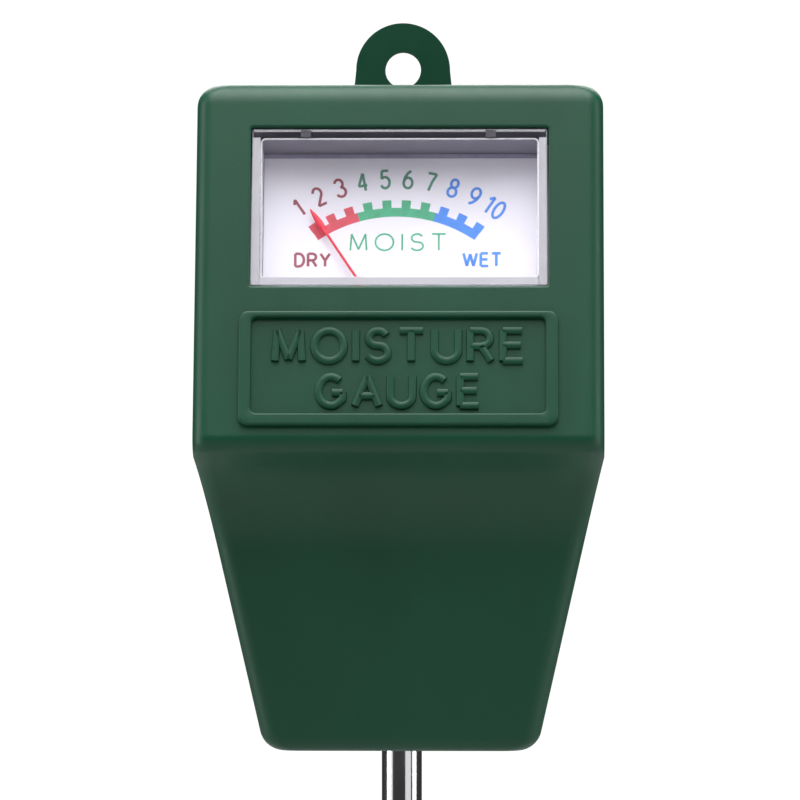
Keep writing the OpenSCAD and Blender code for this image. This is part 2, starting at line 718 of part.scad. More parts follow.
// ---------- Wiring ----------
module terminals() {
    color(brass) on_face() for (x = [-terminal_x, terminal_x]) translate([x, 0, terminal_s]) {
        bar(base_d + 0.2, base_back, terminal_r);
        bar(base_back, base_back + 0.6, 1.8);
        bar(base_back + 0.6, base_back + 3, terminal_r);
    }
}
module calibration_resistor() {
    wire_len = terminal_x - terminal_r - resistor_len / 2;
    color([0.8, 0.72, 0.55]) on_face() translate([0, base_back + resistor_back, terminal_s]) {
        rotate([0, 90, 0]) cylinder(h = resistor_len, r = resistor_r, center = true);
        for (side = [-1, 1]) translate([side * (resistor_len + wire_len) / 2, 0, 0]) rotate([0, 90, 0])
            cylinder(h = wire_len, r = wire_r, center = true);
    }
}

function unit(v) = v / norm(v);
function smooth_at(p, t) =
    let (n = len(p) - 1, i = min(floor(t), n - 1), u = t - i,
         a = p[max(i - 1, 0)], b = p[i], c = p[i + 1], d = p[min(i + 2, n)])
    0.5 * (2 * b + (c - a) * u + (2 * a - 5 * b + 4 * c - d) * u * u
        + (3 * b - a - 3 * c + d) * u * u * u);
module lead(route) {
    rings = (len(route) - 1) * 3;
    path = [for (i = [0:rings]) smooth_at(route, i / 3)];
    pts = [for (i = [0:rings]) let (
        t = unit(path[min(i + 1, rings)] - path[max(i - 1, 0)]),
        u = unit(cross(t, [0, 1, 0])), v = cross(t, u))
        for (k = [0:LEAD_SIDES - 1]) let (a = 360 * k / LEAD_SIDES)
            path[i] + lead_r * (cos(a) * u + sin(a) * v)];
    n = LEAD_SIDES;
    sides = [for (j = [0:rings - 1]) for (i = [0:n - 1]) let (a = j * n + i, b = j * n + (i + 1) % n)
        each [[a, a + n, b], [b, a + n, b + n]]];
    polyhedron(points = pts, faces = concat(sides, [[for (i = [0:n - 1]) i]],
        [[for (i = [n - 1:-1:0]) rings * n + i]]));
}
module tube_lead() {
    color("red") lead(tube_route);
}
module tip_lead() {
    color(black) lead(tip_route);
}

// ---------- Probe ----------
module probe_tube() {
    color(steel) difference() {
        union() {
            translate([0, 0, tube_end]) cylinder(h = -tube_end, r = probe_r, $fn = 96);
            cylinder(h = tube_top, r = stem_r, $fn = 96);
        }
        translate([0, 0, tube_end - 1]) cylinder(h = tube_top - tube_end + 2, r = bore_r, $fn = 96);
        translate([0, 0, groove_z[0]]) difference() {
            cylinder(h = groove_z[1] - groove_z[0], r = probe_r + 1);
            translate([0, 0, -1]) cylinder(h = 5, r = groove_r);
        }
    }
}
module probe_liner() {
    color(white) difference() {
        translate([0, 0, tube_end]) cylinder(h = tube_top + liner_rise - tube_end, r = liner_r);
        translate([0, 0, tube_end - 1]) cylinder(h = tube_top + 6 - tube_end, r = rod_r + slip);
    }
}
module inner_conductor() {
    color(copper) translate([0, 0, tip_top - rod_seat])
        cylinder(h = tube_top + rod_rise - tip_top + rod_seat, r = rod_r);
}
module insulator_collar() {
    color(black) difference() {
        translate([0, 0, tip_top]) cylinder(h = collar_h, r = probe_r, $fn = 96);
        translate([0, 0, tip_top - 1]) cylinder(h = collar_h + 2, r = rod_r + slip);
    }
}
module probe_tip() {
    color([0.62, 0.6, 0.56]) difference() {
        translate([0, 0, tip_z]) rotate_extrude($fn = 96)
            polygon([[0, 0], [0.35, 0.1], [0.6, 0.6], [probe_r - 0.4, tip_cone],
                [probe_r - 0.1, tip_cone + 1], [probe_r, tip_cone + 2.5], [probe_r, tip_len], [0, tip_len]]);
        translate([0, 0, tip_top - rod_seat]) cylinder(h = rod_seat + 1, r = rod_r + slip);
    }
}
module retaining_ring() {
    color(steel) translate([0, 0, groove_z[0] + slip]) difference() {
        cylinder(h = groove_z[1] - groove_z[0] - 2 * slip, r = probe_r + 1.6);
        translate([0, 0, -1]) cylinder(h = 4, r = groove_r + slip);
        translate([-groove_r + 0.3, -10, -1]) cube([2 * groove_r - 0.6, 10, 4]);
    }
}
module tube_terminal() {
    color(brass) difference() {
        union() {
            translate([0, 0, tube_strap_z]) cylinder(h = strap_t, r = stem_r + 1.3);
            translate([-7.2, -1, tube_strap_z]) cube([4, 2, strap_t]);
        }
        translate([0, 0, tube_strap_z - 1]) cylinder(h = 3, r = stem_r);
    }
}
module tip_terminal() {
    color(brass) difference() {
        union() {
            translate([0, 0, tip_strap_z]) cylinder(h = strap_t, r = 2.6);
            translate([1, -0.9, tip_strap_z]) cube([3, 1.8, strap_t]);
        }
        translate([0, 0, tip_strap_z - 1]) cylinder(h = 3, r = rod_r);
    }
}

front_housing();
rear_cover();
rear_screws();
meter_cover();
meter_base();
dial_plate();
dial_screws();
module_screws();
yoke_ring();
core_magnet();
core_spacers();
front_bridge();
rear_bridge();
bridge_screws();
front_jewel_screw();
rear_jewel_screw();
jewel_locknuts();
front_jewel();
rear_jewel();
rear_spring_anchor();
pointer_stops();
terminals();
calibration_resistor();
tube_lead();
tip_lead();
probe_tube();
probe_liner();
inner_conductor();
insulator_collar();
probe_tip();
retaining_ring();
tube_terminal();
tip_terminal();
zero_lever();
pointer();
coil_former();
coil_winding();
front_pivot();
rear_pivot();
balance_weights();
front_hairspring();
rear_hairspring();
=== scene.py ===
"""Soil moisture meter: head, clear window, printed dial, needle, probe and fixings on the CAD frame."""
import json
import math

import bmesh
import bpy
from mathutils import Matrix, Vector


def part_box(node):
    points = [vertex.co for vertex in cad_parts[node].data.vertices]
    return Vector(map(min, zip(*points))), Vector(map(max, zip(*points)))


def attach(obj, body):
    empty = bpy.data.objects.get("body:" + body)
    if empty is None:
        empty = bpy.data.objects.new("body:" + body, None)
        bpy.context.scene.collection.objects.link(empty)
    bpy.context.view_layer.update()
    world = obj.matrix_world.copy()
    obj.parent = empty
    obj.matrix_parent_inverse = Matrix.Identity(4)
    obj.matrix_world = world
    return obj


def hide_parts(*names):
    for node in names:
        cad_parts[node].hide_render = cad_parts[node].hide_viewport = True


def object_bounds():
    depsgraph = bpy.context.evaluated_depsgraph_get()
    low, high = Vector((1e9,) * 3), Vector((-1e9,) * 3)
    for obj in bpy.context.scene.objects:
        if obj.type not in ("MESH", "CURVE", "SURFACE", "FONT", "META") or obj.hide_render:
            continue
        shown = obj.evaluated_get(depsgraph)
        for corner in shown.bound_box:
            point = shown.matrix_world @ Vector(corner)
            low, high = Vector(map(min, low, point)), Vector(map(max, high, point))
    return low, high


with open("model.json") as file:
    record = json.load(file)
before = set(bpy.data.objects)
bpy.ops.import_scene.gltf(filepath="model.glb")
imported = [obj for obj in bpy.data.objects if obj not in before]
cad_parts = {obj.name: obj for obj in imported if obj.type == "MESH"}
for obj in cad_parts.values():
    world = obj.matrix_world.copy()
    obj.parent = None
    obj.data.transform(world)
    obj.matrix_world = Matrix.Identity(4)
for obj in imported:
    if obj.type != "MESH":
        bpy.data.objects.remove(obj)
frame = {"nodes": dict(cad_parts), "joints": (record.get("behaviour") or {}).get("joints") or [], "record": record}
CAD_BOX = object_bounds()

bl_info = {
    "name": "Soil Moisture Meter",
    "version": (1, 0, 0),
    "blender": (4, 5, 0),
    "location": "View3D > Sidebar > Meter",
    "description": "Builds an analogue soil moisture meter around its CAD frame",
    "category": "Add Mesh",
}

MM = 0.001
JOINT = {j["name"]: j for j in frame["joints"]}
SWING = JOINT["pointer_swing"]
PIVOT = Vector(SWING["pos_m"])  # on the front of the dial
INTO = Vector(SWING["axis"]).normalized()
UP_FACE = Vector((0, -INTO.z, INTO.y))
FACE_TILT = math.atan2(-INTO.z, INTO.y)
ACROSS = Vector((1, 0, 0))
HOUSING_LOW, HOUSING_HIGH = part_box("front_housing")
REAR_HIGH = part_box("rear_cover")[1]
COLLAR_LOW, COLLAR_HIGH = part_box("insulator_collar")
COVER_FRONT = 0.3 * MM  # how far the clear cover's front lies behind the face
TUBE_LOW, TUBE_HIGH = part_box("probe_tube")
TIP_LOW, TIP_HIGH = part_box("probe_tip")
HEAD_W = HOUSING_HIGH.x - HOUSING_LOW.x
HEAD_H = HOUSING_HIGH.z
REAR_Y = REAR_HIGH.y
LID_Y = HOUSING_HIGH.y


def length(name, mm, text):
    """A length property whose default is given in millimetres."""
    return bpy.props.FloatProperty(name=name, description=text, default=mm * MM, unit="LENGTH", precision=5)


def colour(name, rgb, text):
    """A colour property."""
    return bpy.props.FloatVectorProperty(
        name=name, description=text, default=rgb, size=3, min=0.0, max=1.0, subtype="COLOR")


def turn(name, degrees, text):
    """An angle property whose default is given in degrees."""
    return bpy.props.FloatProperty(
        name=name, description=text, default=math.radians(degrees), unit="ROTATION")


class MeterHead(bpy.types.PropertyGroup):
    """Sizes of the moulded head"""

    foot_w: length("Foot Width", 40.4, "Width of the head at its foot")
    knee_z: length("Knee Height", 43.7, "Height at which the sides stop widening")
    wall: length("Wall", 2.0, "Thickness of the moulded walls")
    edge_r: length("Edge Radius", 2.5, "Radius along the front edges")
    top_corner_r: length("Top Corner", 3.3, "Radius of the upper corners")
    foot_corner_r: length("Foot Corner", 2.8, "Radius of the lower corners")
    foot_edge_r: length("Foot Edge", 1.8, "Radius along the foot's front edge")
    foot_front: length("Foot Depth", 10.0, "Depth of the foot in front of the probe's axis")
    sweep_r: length("Sweep Radius", 18.0, "Radius of the hollow sweep below the face")
    sweep_z: length("Sweep Height", 30.0, "Height at which the sweep starts")
    lower_lean: turn("Lower Lean", 7.6, "Lean of the lower front")
    sweep_end: turn("Sweep End", 58.0, "Steepest lean of the sweep")
    window_gap: length("Window Gap", 0.2, "Gap around the clear cover")
    window_round: length("Window Edge", 0.35, "Rounding of the window's front edge")
    label_w: length("Label Width", 46.5, "Width of the raised label frame")
    label_h: length("Label Height", 17.1, "Height of the raised label frame")
    label_rise: length("Label Rise", 0.9, "Height of the label frame above the face")
    label_s: length("Label Position", 10.85, "Height of the label's middle up the face")
    letter_rise: length("Letter Rise", 0.5, "Height of the raised letters")
    tab_r: length("Tab Radius", 7.1, "Outer radius of the hanging tab")
    hang_r: length("Hanging Hole", 2.7, "Radius of the hanging hole")


class MeterDial(bpy.types.PropertyGroup):
    """Sizes of the window, the dial's printing and the needle"""

    dial_d: length("Dial Depth", 9.0, "Depth of the dial behind the face")
    pivot_s: length("Pivot Height", 16.9, "Height of the pivot up the face")
    window_w: length("Window Width", 43.4, "Width of the clear cover")
    window_s: length("Window Start", 23.6, "Height of the cover's lower edge up the face")
    window_h: length("Window Height", 23.9, "Height of the clear cover")
    pane: length("Pane", 1.3, "Wall of the clear cover")
    band_in: length("Band Inside", 20.2, "Inner radius of the coloured band")
    band_out: length("Band Outside", 21.55, "Outer radius of the coloured band")
    tooth_out: length("Tooth Outside", 22.75, "Outer radius of the teeth")
    number_r: length("Number Radius", 26.0, "Radius of the middle of the numbers")
    number_h: length("Number Height", 3.1, "Height of the numbers")
    print_x: length("Print Across", -0.6, "How far the printed scale sits off the middle")
    print_up: length("Print Up", -0.65, "How far the printed scale sits above the pivot's arc")
    step: turn("Mark Step", 7.4, "Angle from one mark to the next")
    tooth: turn("Tooth Width", 3.5, "Width of each tooth")
    ink: length("Ink", 0.02, "Thickness of the printing")
    needle_len: length("Needle Length", 24.4, "Length of the needle from its pivot")


class MeterFinish(bpy.types.PropertyGroup):
    """Colours of the plastics, metals and inks"""

    green: colour("Green Plastic", (0.0040, 0.062, 0.031), "Moulded head")
    dial: colour("Dial White", (0.93, 0.90, 0.96), "Dial face")
    red_ink: colour("Red Ink", (0.74, 0.095, 0.13), "Dry end of the scale")
    dark_red_ink: colour("Dark Red Ink", (0.36, 0.09, 0.12), "Dry numbers")
    green_ink: colour("Green Ink", (0.09, 0.46, 0.25), "Middle of the scale")
    dark_green_ink: colour("Dark Green Ink", (0.11, 0.30, 0.21), "Middle numbers")
    blue_ink: colour("Blue Ink", (0.09, 0.29, 0.85), "Wet end of the scale")
    needle: colour("Needle Red", (0.85, 0.035, 0.07), "Needle")
    chrome: colour("Bright Metal", (0.80, 0.80, 0.82), "Probe tube")
    zinc: colour("Dull Metal", (0.52, 0.51, 0.49), "Probe tip")
    black: colour("Black Plastic", (0.012, 0.012, 0.013), "Insulating collar")


def sizes():
    """The three groups of settings of the open scene."""
    scene = bpy.context.scene
    return scene.meter_head, scene.meter_dial, scene.meter_finish


# ---------------------------------------------------------------- frame of the face


def on_face(x, depth, rise):
    """A point given across the face, into the head and up the face."""
    dial = bpy.context.scene.meter_dial
    return PIVOT + ACROSS * x + INTO * (depth - dial.dial_d) + UP_FACE * (rise - dial.pivot_s)


def on_dial(radius, angle, depth, across=0.0):
    """A point on the printed scale, by radius, clockwise angle and depth, then a step to the side."""
    dial = bpy.context.scene.meter_dial
    x = radius * math.sin(angle) + across * math.cos(angle) + dial.print_x
    rise = radius * math.cos(angle) - across * math.sin(angle) + dial.print_up
    return on_face(x, depth, dial.pivot_s + rise)


# ---------------------------------------------------------------- mesh tools


def new_object(name, mesh):
    """Puts a mesh, lamp or camera into the scene."""
    ob = bpy.data.objects.new(name, mesh)
    bpy.context.scene.collection.objects.link(ob)
    return ob


def from_bmesh(name, bm, smooth=True):
    """Turns a working mesh into an object whose faces point outwards."""
    bmesh.ops.recalc_face_normals(bm, faces=bm.faces)
    mesh = bpy.data.meshes.new(name)
    bm.to_mesh(mesh)
    bm.free()
    if smooth:
        mesh.shade_smooth()
    return new_object(name, mesh)


def skin_rings(bm, rings, close_ends=True):
    """Joins equal rings of points with quads and caps the two ends."""
    rows = [[bm.verts.new(p) for p in ring] for ring in rings]
    count = len(rows[0])
    for a, b in zip(rows, rows[1:]):
        for i in range(count):
            j = (i + 1) % count
            bm.faces.new((a[i], a[j], b[j], b[i]))
    if close_ends:
        bm.faces.new(list(reversed(rows[0])))
        bm.faces.new(rows[-1])
    return rows


def prism(name, outline, place, low, high, smooth=False):
    """A closed plate: outline is 2D, and place(u, v, depth) gives the 3D point."""
    bm = bmesh.new()
    skin_rings(bm, [[place(u, v, low) for u, v in outline], [place(u, v, high) for u, v in outline]])
    return from_bmesh(name, bm, smooth)


def bake_modifiers(ob):
    """Replaces the object's mesh with the result of its modifiers."""
    bpy.context.view_layer.update()
    shaped = bpy.data.meshes.new_from_object(ob.evaluated_get(bpy.context.evaluated_depsgraph_get()))
    ob.modifiers.clear()
    ob.data = shaped
    return ob


def combine(ob, other, operation):
    """Cuts other from ob, or joins it on, and removes other."""
    mod = ob.modifiers.new(operation, "BOOLEAN")
    mod.object = other
    mod.operation = operation
    mod.solver = "EXACT"
    bake_modifiers(ob)
    bpy.data.objects.remove(other)
    return ob


def soften(ob, width, segments=3, angle=30):
    """Rounds every edge sharper than the angle and keeps flat faces flat."""
    mod = ob.modifiers.new("soft_edges", "BEVEL")
    mod.width = width
    mod.segments = segments
    mod.limit_method = "ANGLE"
    mod.angle_limit = math.radians(angle)
    mod.harden_normals = False
    return flat_shading(bake_modifiers(ob))


def flat_shading(ob):
    """Shades curves smooth and keeps flat faces and sharp edges crisp."""
    ob.data.shade_smooth()
    ob.data.set_sharp_from_angle(angle=math.radians(38))
    mod = ob.modifiers.new("even_normals", "WEIGHTED_NORMAL")
    mod.keep_sharp = True
    mod.weight = 90
    return ob


def lathe(name, profile, centre, axis, steps=96):
    """Turns (radius, height) points around an axis. Points on the axis close the ends."""
    axis = axis.normalized()
    side = axis.orthogonal().normalized()
    other = axis.cross(side)
    bm = bmesh.new()
    rows = []
    for r, h in profile:
        middle = centre + axis * h
        if r <= 0:
            rows.append([bm.verts.new(middle)])
            continue
        rows.append([bm.verts.new(middle + (side * math.cos(a) + other * math.sin(a)) * r)
                     for a in (2 * math.pi * k / steps for k in range(steps))])
    for a, b in zip(rows, rows[1:]):
        for i in range(steps):
            j = (i + 1) % steps
            ring = [a[i % len(a)], a[j % len(a)], b[j % len(b)], b[i % len(b)]]
            ring = [v for k, v in enumerate(ring) if v not in ring[:k]]
            if len(ring) > 2:
                bm.faces.new(ring)
    return flat_shading(from_bmesh(name, bm))


def bored(outer, hole):
    """A lathe profile that goes up the outside and back down the inside, and closes on itself."""
    return outer + [(hole, outer[-1][1]), (hole, outer[0][1]), outer[0]]


def turned(name, profile, centre, axis, steps=96):
    """As lathe, with the profile's first and last point joined into a ring."""
    ob = lathe(name, profile, centre, axis, steps)
    bm = bmesh.new()
    bm.from_mesh(ob.data)
    bmesh.ops.remove_doubles(bm, verts=bm.verts, dist=1e-7)
    bmesh.ops.recalc_face_normals(bm, faces=bm.faces)
    bm.to_mesh(ob.data)
    bm.free()
    return ob


def arc(cx, cy, r, start, end, steps):
    """Points along a round arc, with its angles in radians."""
    return [(cx + r * math.cos(start + (end - start) * i / steps),
             cy + r * math.sin(start + (end - start) * i / steps)) for i in range(steps + 1)]


def rounded_rect(w, h, r, steps=8):
    """Outline of a rectangle with round corners, about its own middle."""
    q = math.pi / 2
    x, y = w / 2 - r, h / 2 - r
    return (arc(x, y, r, 0, q, steps) + arc(-x, y, r, q, 2 * q, steps)
            + arc(-x, -y, r, 2 * q, 3 * q, steps) + arc(x, -y, r, 3 * q, 4 * q, steps))


def bend(cx, cy, rx, ry, start, end):
    """Points along an oval arc, with its angles in degrees."""
    steps = max(4, round(abs(end - start) / 12))
    turns = [math.radians(start + (end - start) * i / steps) for i in range(steps + 1)]
    return [(cx + rx * math.cos(a), cy + ry * math.sin(a)) for a in turns]


def tube_ring(radius_u, radius_v, steps):
    """Points round an oval, as (u, v)."""
    turns = [2 * math.pi * k / steps for k in range(steps)]
    return [(radius_u * math.cos(a), radius_v * math.sin(a)) for a in turns]


# Each letter or number is its width and its strokes, on a height of 1
STROKES = {
    "0": (0.56, [bend(0.28, 0.5, 0.28, 0.5, 90, 450)]),
    "1": (0.34, [[(0.02, 0.76), (0.28, 1.0), (0.28, 0.0)]]),
    "2": (0.56, [bend(0.28, 0.72, 0.27, 0.28, 165, -32) + [(0.02, 0.0), (0.58, 0.0)]]),
    "3": (0.54, [bend(0.26, 0.75, 0.25, 0.25, 160, -80), bend(0.26, 0.27, 0.29, 0.27, 82, -162)]),
    "4": (0.58, [[(0.42, 0.0), (0.42, 1.0), (0.0, 0.30), (0.58, 0.30)]]),
    "5": (0.56, [[(0.50, 1.0), (0.09, 1.0), (0.05, 0.53)] + bend(0.26, 0.32, 0.29, 0.32, 125, -155)]),
    "6": (0.56, [[(0.44, 1.0), (0.24, 0.86), (0.07, 0.62)] + bend(0.28, 0.30, 0.28, 0.30, 165, 525)]),
    "7": (0.54, [[(0.0, 1.0), (0.54, 1.0), (0.34, 0.55), (0.20, 0.0)]]),
    "8": (0.56, [bend(0.28, 0.76, 0.23, 0.24, -90, 270), bend(0.28, 0.26, 0.28, 0.26, 90, 450)]),
    "9": (0.56, [[(0.12, 0.0), (0.32, 0.14), (0.49, 0.38)] + bend(0.28, 0.70, 0.28, 0.30, -15, 345)]),
    "A": (0.74, [[(0.0, 0.0), (0.37, 1.0), (0.74, 0.0)], [(0.13, 0.34), (0.61, 0.34)]]),
    "D": (0.62, [[(0.0, 0.0), (0.0, 1.0), (0.26, 1.0)] + bend(0.26, 0.5, 0.36, 0.5, 80, -90) + [(0.0, 0.0)]]),
    "E": (0.54, [[(0.54, 1.0), (0.0, 1.0), (0.0, 0.0), (0.56, 0.0)], [(0.0, 0.52), (0.50, 0.52)]]),
    "G": (0.78, [bend(0.38, 0.5, 0.38, 0.5, 48, 318) + [(0.74, 0.24), (0.74, 0.45), (0.42, 0.45)]]),
    "I": (0.0, [[(0.0, 0.0), (0.0, 1.0)]]),
    "M": (0.78, [[(0.0, 0.0), (0.06, 1.0), (0.39, 0.06), (0.72, 1.0), (0.78, 0.0)]]),
    "O": (0.86, [bend(0.43, 0.5, 0.43, 0.5, 90, 450)]),
    "R": (0.60, [
        [(0.0, 0.0), (0.0, 1.0), (0.30, 1.0)] + bend(0.30, 0.74, 0.27, 0.26, 75, -90) + [(0.0, 0.48)],
        [(0.32, 0.48), (0.60, 0.0)]]),
    "S": (0.58, [bend(0.29, 0.75, 0.26, 0.25, 25, 250) + bend(0.29, 0.26, 0.29, 0.26, 70, -158)]),
    "T": (0.66, [[(0.0, 1.0), (0.66, 1.0)], [(0.33, 1.0), (0.33, 0.0)]]),
    "U": (0.68, [
        [(0.0, 1.0), (0.0, 0.34)] + bend(0.34, 0.34, 0.34, 0.34, 190, 350) + [(0.68, 0.34), (0.68, 1.0)]]),
    "W": (1.00, [[(0.0, 1.0), (0.25, 0.0), (0.50, 0.94), (0.75, 0.0), (1.00, 1.0)]]),
    "Y": (0.66, [[(0.0, 1.0), (0.33, 0.47), (0.66, 1.0)], [(0.33, 0.47), (0.33, 0.0)]]),
}


WIDEST_MITRE = 1.3
SHARP_TURN = 0.3  # cosine of the turn past which a stroke is cut


def heading(start, end):
    """Unit direction from one flat point to another."""
    return Vector((end[0] - start[0], end[1] - start[1])).normalized()


def stroke(bm, line, profile, place):
    """Sweeps a (sideways, out) profile along a flat line, with mitred corners and closed ends."""
    looped = math.dist(line[0], line[-1]) < 1e-9
    last = len(line) - 1
    rings = []
    for i, (x, y) in enumerate(line):
        before = heading(line[i - 1], line[i]) if i else heading(line[-2], line[0]) if looped else None
        after = heading(line[i], line[i + 1]) if i < last else heading(line[0], line[1]) if looped else None
        before, after = before or after, after or before
        along = (before + after).normalized() if (before + after).length > 0.1 else after
        mitre = min(WIDEST_MITRE, 1 / max(SHARP_TURN, along.dot(after)))
        side = Vector((along.y, -along.x)) * mitre
        rings.append([place(x + side.x * w, y + side.y * w, out) for w, out in profile])
    skin_rings(bm, rings)


def split_at_corners(line):
    """Cuts a line into pieces wherever it turns sharply, so every stroke keeps its width."""
    pieces, piece = [], [line[0]]
    for before, here, after in zip(line, line[1:], line[2:]):
        piece.append(here)
        if heading(before, here).dot(heading(here, after)) < SHARP_TURN:
            pieces.append(piece)
            piece = [here]
    return pieces + [piece + [line[-1]]]


def lettering(name, text, height, width, place, profile, gap=0.3):
    """Letters drawn with strokes, whose middle is at the origin of place(u, v, depth)."""
    half = max(w for w, _ in profile)
    advance, lines = 0.0, []
    for letter in text:
        wide, strokes = STROKES[letter]
        lines += [[(advance + x, y) for x, y in line] for line in strokes]
        advance += wide + gap
    across = (width - 2 * half) / (advance - gap)
    tall = height - 2 * half
    bm = bmesh.new()
    for line in lines:
        flat = [((x - (advance - gap) / 2) * across, (y - 0.5) * tall) for x, y in line]
        for piece in split_at_corners(flat):
            stroke(bm, piece, profile, place)
    ob = from_bmesh(name, bm, len(profile) > 4)
    ob.data.set_sharp_from_angle(angle=math.radians(50))
    return ob


def ink_line(width, ink):
    """Cross-section of a printed line."""
    return [(-width / 2, 0.0), (-width / 2, ink), (width / 2, ink), (width / 2, 0.0)]


def moulded_bead(width, rise, root):
    """A low rounded bar: root is how far it goes under the surface."""
    half = width / 2
    left = [(-half * 1.08, -root), (-half * 1.08, 0.0), (-half, rise * 0.35), (-half * 0.82, rise * 0.82),
            (-half * 0.55, rise)]
    return left + [(-u, out) for u, out in reversed(left)]


def join(name, obs):
    """One object from several, keeping the materials of each."""
    bm = bmesh.new()
    slots = []
    for ob in obs:
        mesh = bpy.data.meshes.new_from_object(ob.evaluated_get(bpy.context.evaluated_depsgraph_get()))
        offset = len(bm.faces)
        bm.from_mesh(mesh)
        bm.faces.ensure_lookup_table()
        own = list(ob.data.materials) or [None]
        slots += [mat for i, mat in enumerate(own) if mat not in slots + own[:i]]
        for f in bm.faces[offset:]:
            f.material_index = slots.index(own[f.material_index])
    mesh = bpy.data.meshes.new(name)
    bm.to_mesh(mesh)
    bm.free()
    for ob in obs:
        bpy.data.objects.remove(ob)
    for mat in slots:
        mesh.materials.append(mat)
    return new_object(name, mesh)


def fit(ob, body, slot, mat=None, *nodes):
    """Gives a piece its material and its CAD body, and hides the nodes that it stands for. The slot argument is
    not used.
    """
    if mat:
        ob.data.materials.clear()
        ob.data.materials.append(mat)
    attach(ob, body)
    if nodes:
        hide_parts(*nodes)


# ---------------------------------------------------------------- materials


class Shader:
    """A material with one Principled node and helpers for patterns."""

    def __init__(self, name, rgb, roughness, metallic=0.0, **sockets):
        self.mat = bpy.data.materials.new(name)
        self.mat.use_nodes = True
        self.mat.diffuse_color = (*rgb, 1)
        self.tree = self.mat.node_tree
        self.bsdf = self.tree.nodes["Principled BSDF"]
        self.set("Base Color", (*rgb, 1))
        self.set("Roughness", roughness)
        self.set("Metallic", metallic)
        for key, value in sockets.items():
            self.set(key.replace("_", " "), value)
        self.coords = self.tree.nodes.new("ShaderNodeTexCoord").outputs["Object"]

    def set(self, socket, value):
        self.bsdf.inputs[socket].default_value = value

    def link(self, a, b):
        self.tree.links.new(a, b)

    def stretched(self, scale):
        """Object coordinates, stretched along each axis."""
        node = self.tree.nodes.new("ShaderNodeMapping")
        node.inputs["Scale"].default_value = scale
        self.link(self.coords, node.inputs["Vector"])
        return node.outputs["Vector"]

    def noise(self, scale, detail=3.0, rough=0.55, stretch=(1, 1, 1)):
        """Noise whose features are about 1/scale metres across."""
        node = self.tree.nodes.new("ShaderNodeTexNoise")
        node.inputs["Scale"].default_value = scale
        node.inputs["Detail"].default_value = detail
        node.inputs["Roughness"].default_value = rough
        self.link(self.stretched(stretch), node.inputs["Vector"])
        return node.outputs["Fac"]

    def between(self, value, low, high, out_low, out_high):
        """Carries a value from one range to another."""
        node = self.tree.nodes.new("ShaderNodeMapRange")
        for key, number in zip(("From Min", "From Max", "To Min", "To Max"), (low, high, out_low, out_high)):
            node.inputs[key].default_value = number
        self.link(value, node.inputs["Value"])
        return node.outputs["Result"]

    def tint(self, value, dark, light, low=0.3, high=0.7):
        """Colour that runs from dark to light with the value."""
        node = self.tree.nodes.new("ShaderNodeValToRGB")
        ramp = node.color_ramp
        ramp.elements[0].position, ramp.elements[0].color = low, (*dark, 1)
        ramp.elements[1].position, ramp.elements[1].color = high, (*light, 1)
        self.link(value, node.inputs["Fac"])
        self.link(node.outputs["Color"], self.bsdf.inputs["Base Color"])

    def rough(self, value, low, high):
        """Roughness that runs from low to high with the value."""
        self.link(self.between(value, 0.3, 0.7, low, high), self.bsdf.inputs["Roughness"])

    def bump(self, *layers):
        """Each layer is (value, height in metres, strength)."""
        normal = None
        for value, height, strength in layers:
            node = self.tree.nodes.new("ShaderNodeBump")
            node.inputs["Distance"].default_value = height
            node.inputs["Strength"].default_value = strength
            self.link(value, node.inputs["Height"])
            if normal:
                self.link(normal, node.inputs["Normal"])
            normal = node.outputs["Normal"]
        self.link(normal, self.bsdf.inputs["Normal"])

    def see_through(self, tone, seen, in_shadow):
        """Lets light straight through: one share where the piece is seen and another in its shadow."""
        nodes = self.tree.nodes
        clear = nodes.new("ShaderNodeBsdfTransparent")
        clear.inputs["Color"].default_value = (*tone, 1)
        path = nodes.new("ShaderNodeLightPath")
        mix = nodes.new("ShaderNodeMixShader")
        self.link(self.between(path.outputs["Is Shadow Ray"], 0.0, 1.0, seen, in_shadow), mix.inputs[0])
        self.link(self.bsdf.outputs[0], mix.inputs[1])
        self.link(clear.outputs[0], mix.inputs[2])
        self.link(mix.outputs[0], nodes["Material Output"].inputs["Surface"])


def scaled(rgb, k):
    """The same colour, lighter or darker."""
    return tuple(min(1.0, c * k) for c in rgb)


def moulded(name, rgb, gloss=0.42):
    """Satin moulded plastic with a fine spark-eroded grain and faint flow marks."""
    s = Shader(name, rgb, gloss, Specular_IOR_Level=0.4)
    grain = s.noise(2600, 2.0, 0.6)
    flow = s.noise(55, 3.0, 0.5, (1, 1, 0.35))
    scuff = s.noise(420, 6.0, 0.75, (1, 1, 0.2))
    s.tint(flow, scaled(rgb, 0.90), scaled(rgb, 1.10))
    s.rough(scuff, gloss - 0.05, gloss + 0.07)
    s.bump((flow, 0.00030, 0.12), (grain, 0.00004, 0.30))
    return s.mat


def polished_metal(name, rgb, roughness=0.1):
    """Bright plated metal with fine draw lines along its length."""
    s = Shader(name, rgb, roughness, 1.0)
    lines = s.noise(1500, 3.0, 0.6, (1, 1, 0.012))
    haze = s.noise(90, 4.0, 0.6)
    s.tint(haze, scaled(rgb, 0.93), scaled(rgb, 1.04))
    s.rough(haze, roughness - 0.03, roughness + 0.06)
    s.bump((lines, 0.00001, 0.25))
    return s.mat


def turned_metal(name, rgb, roughness=0.32):
    """Lathe-turned metal with fine rings and dull patches."""
    s = Shader(name, rgb, roughness, 1.0)
    rings = s.noise(2600, 2.0, 0.5, (0.02, 0.02, 1))
    patch = s.noise(160, 4.0, 0.65)
    s.tint(patch, scaled(rgb, 0.75), scaled(rgb, 1.1))
    s.rough(patch, roughness - 0.08, roughness + 0.14)
    s.bump((rings, 0.00002, 0.4), (patch, 0.00005, 0.2))
    return s.mat


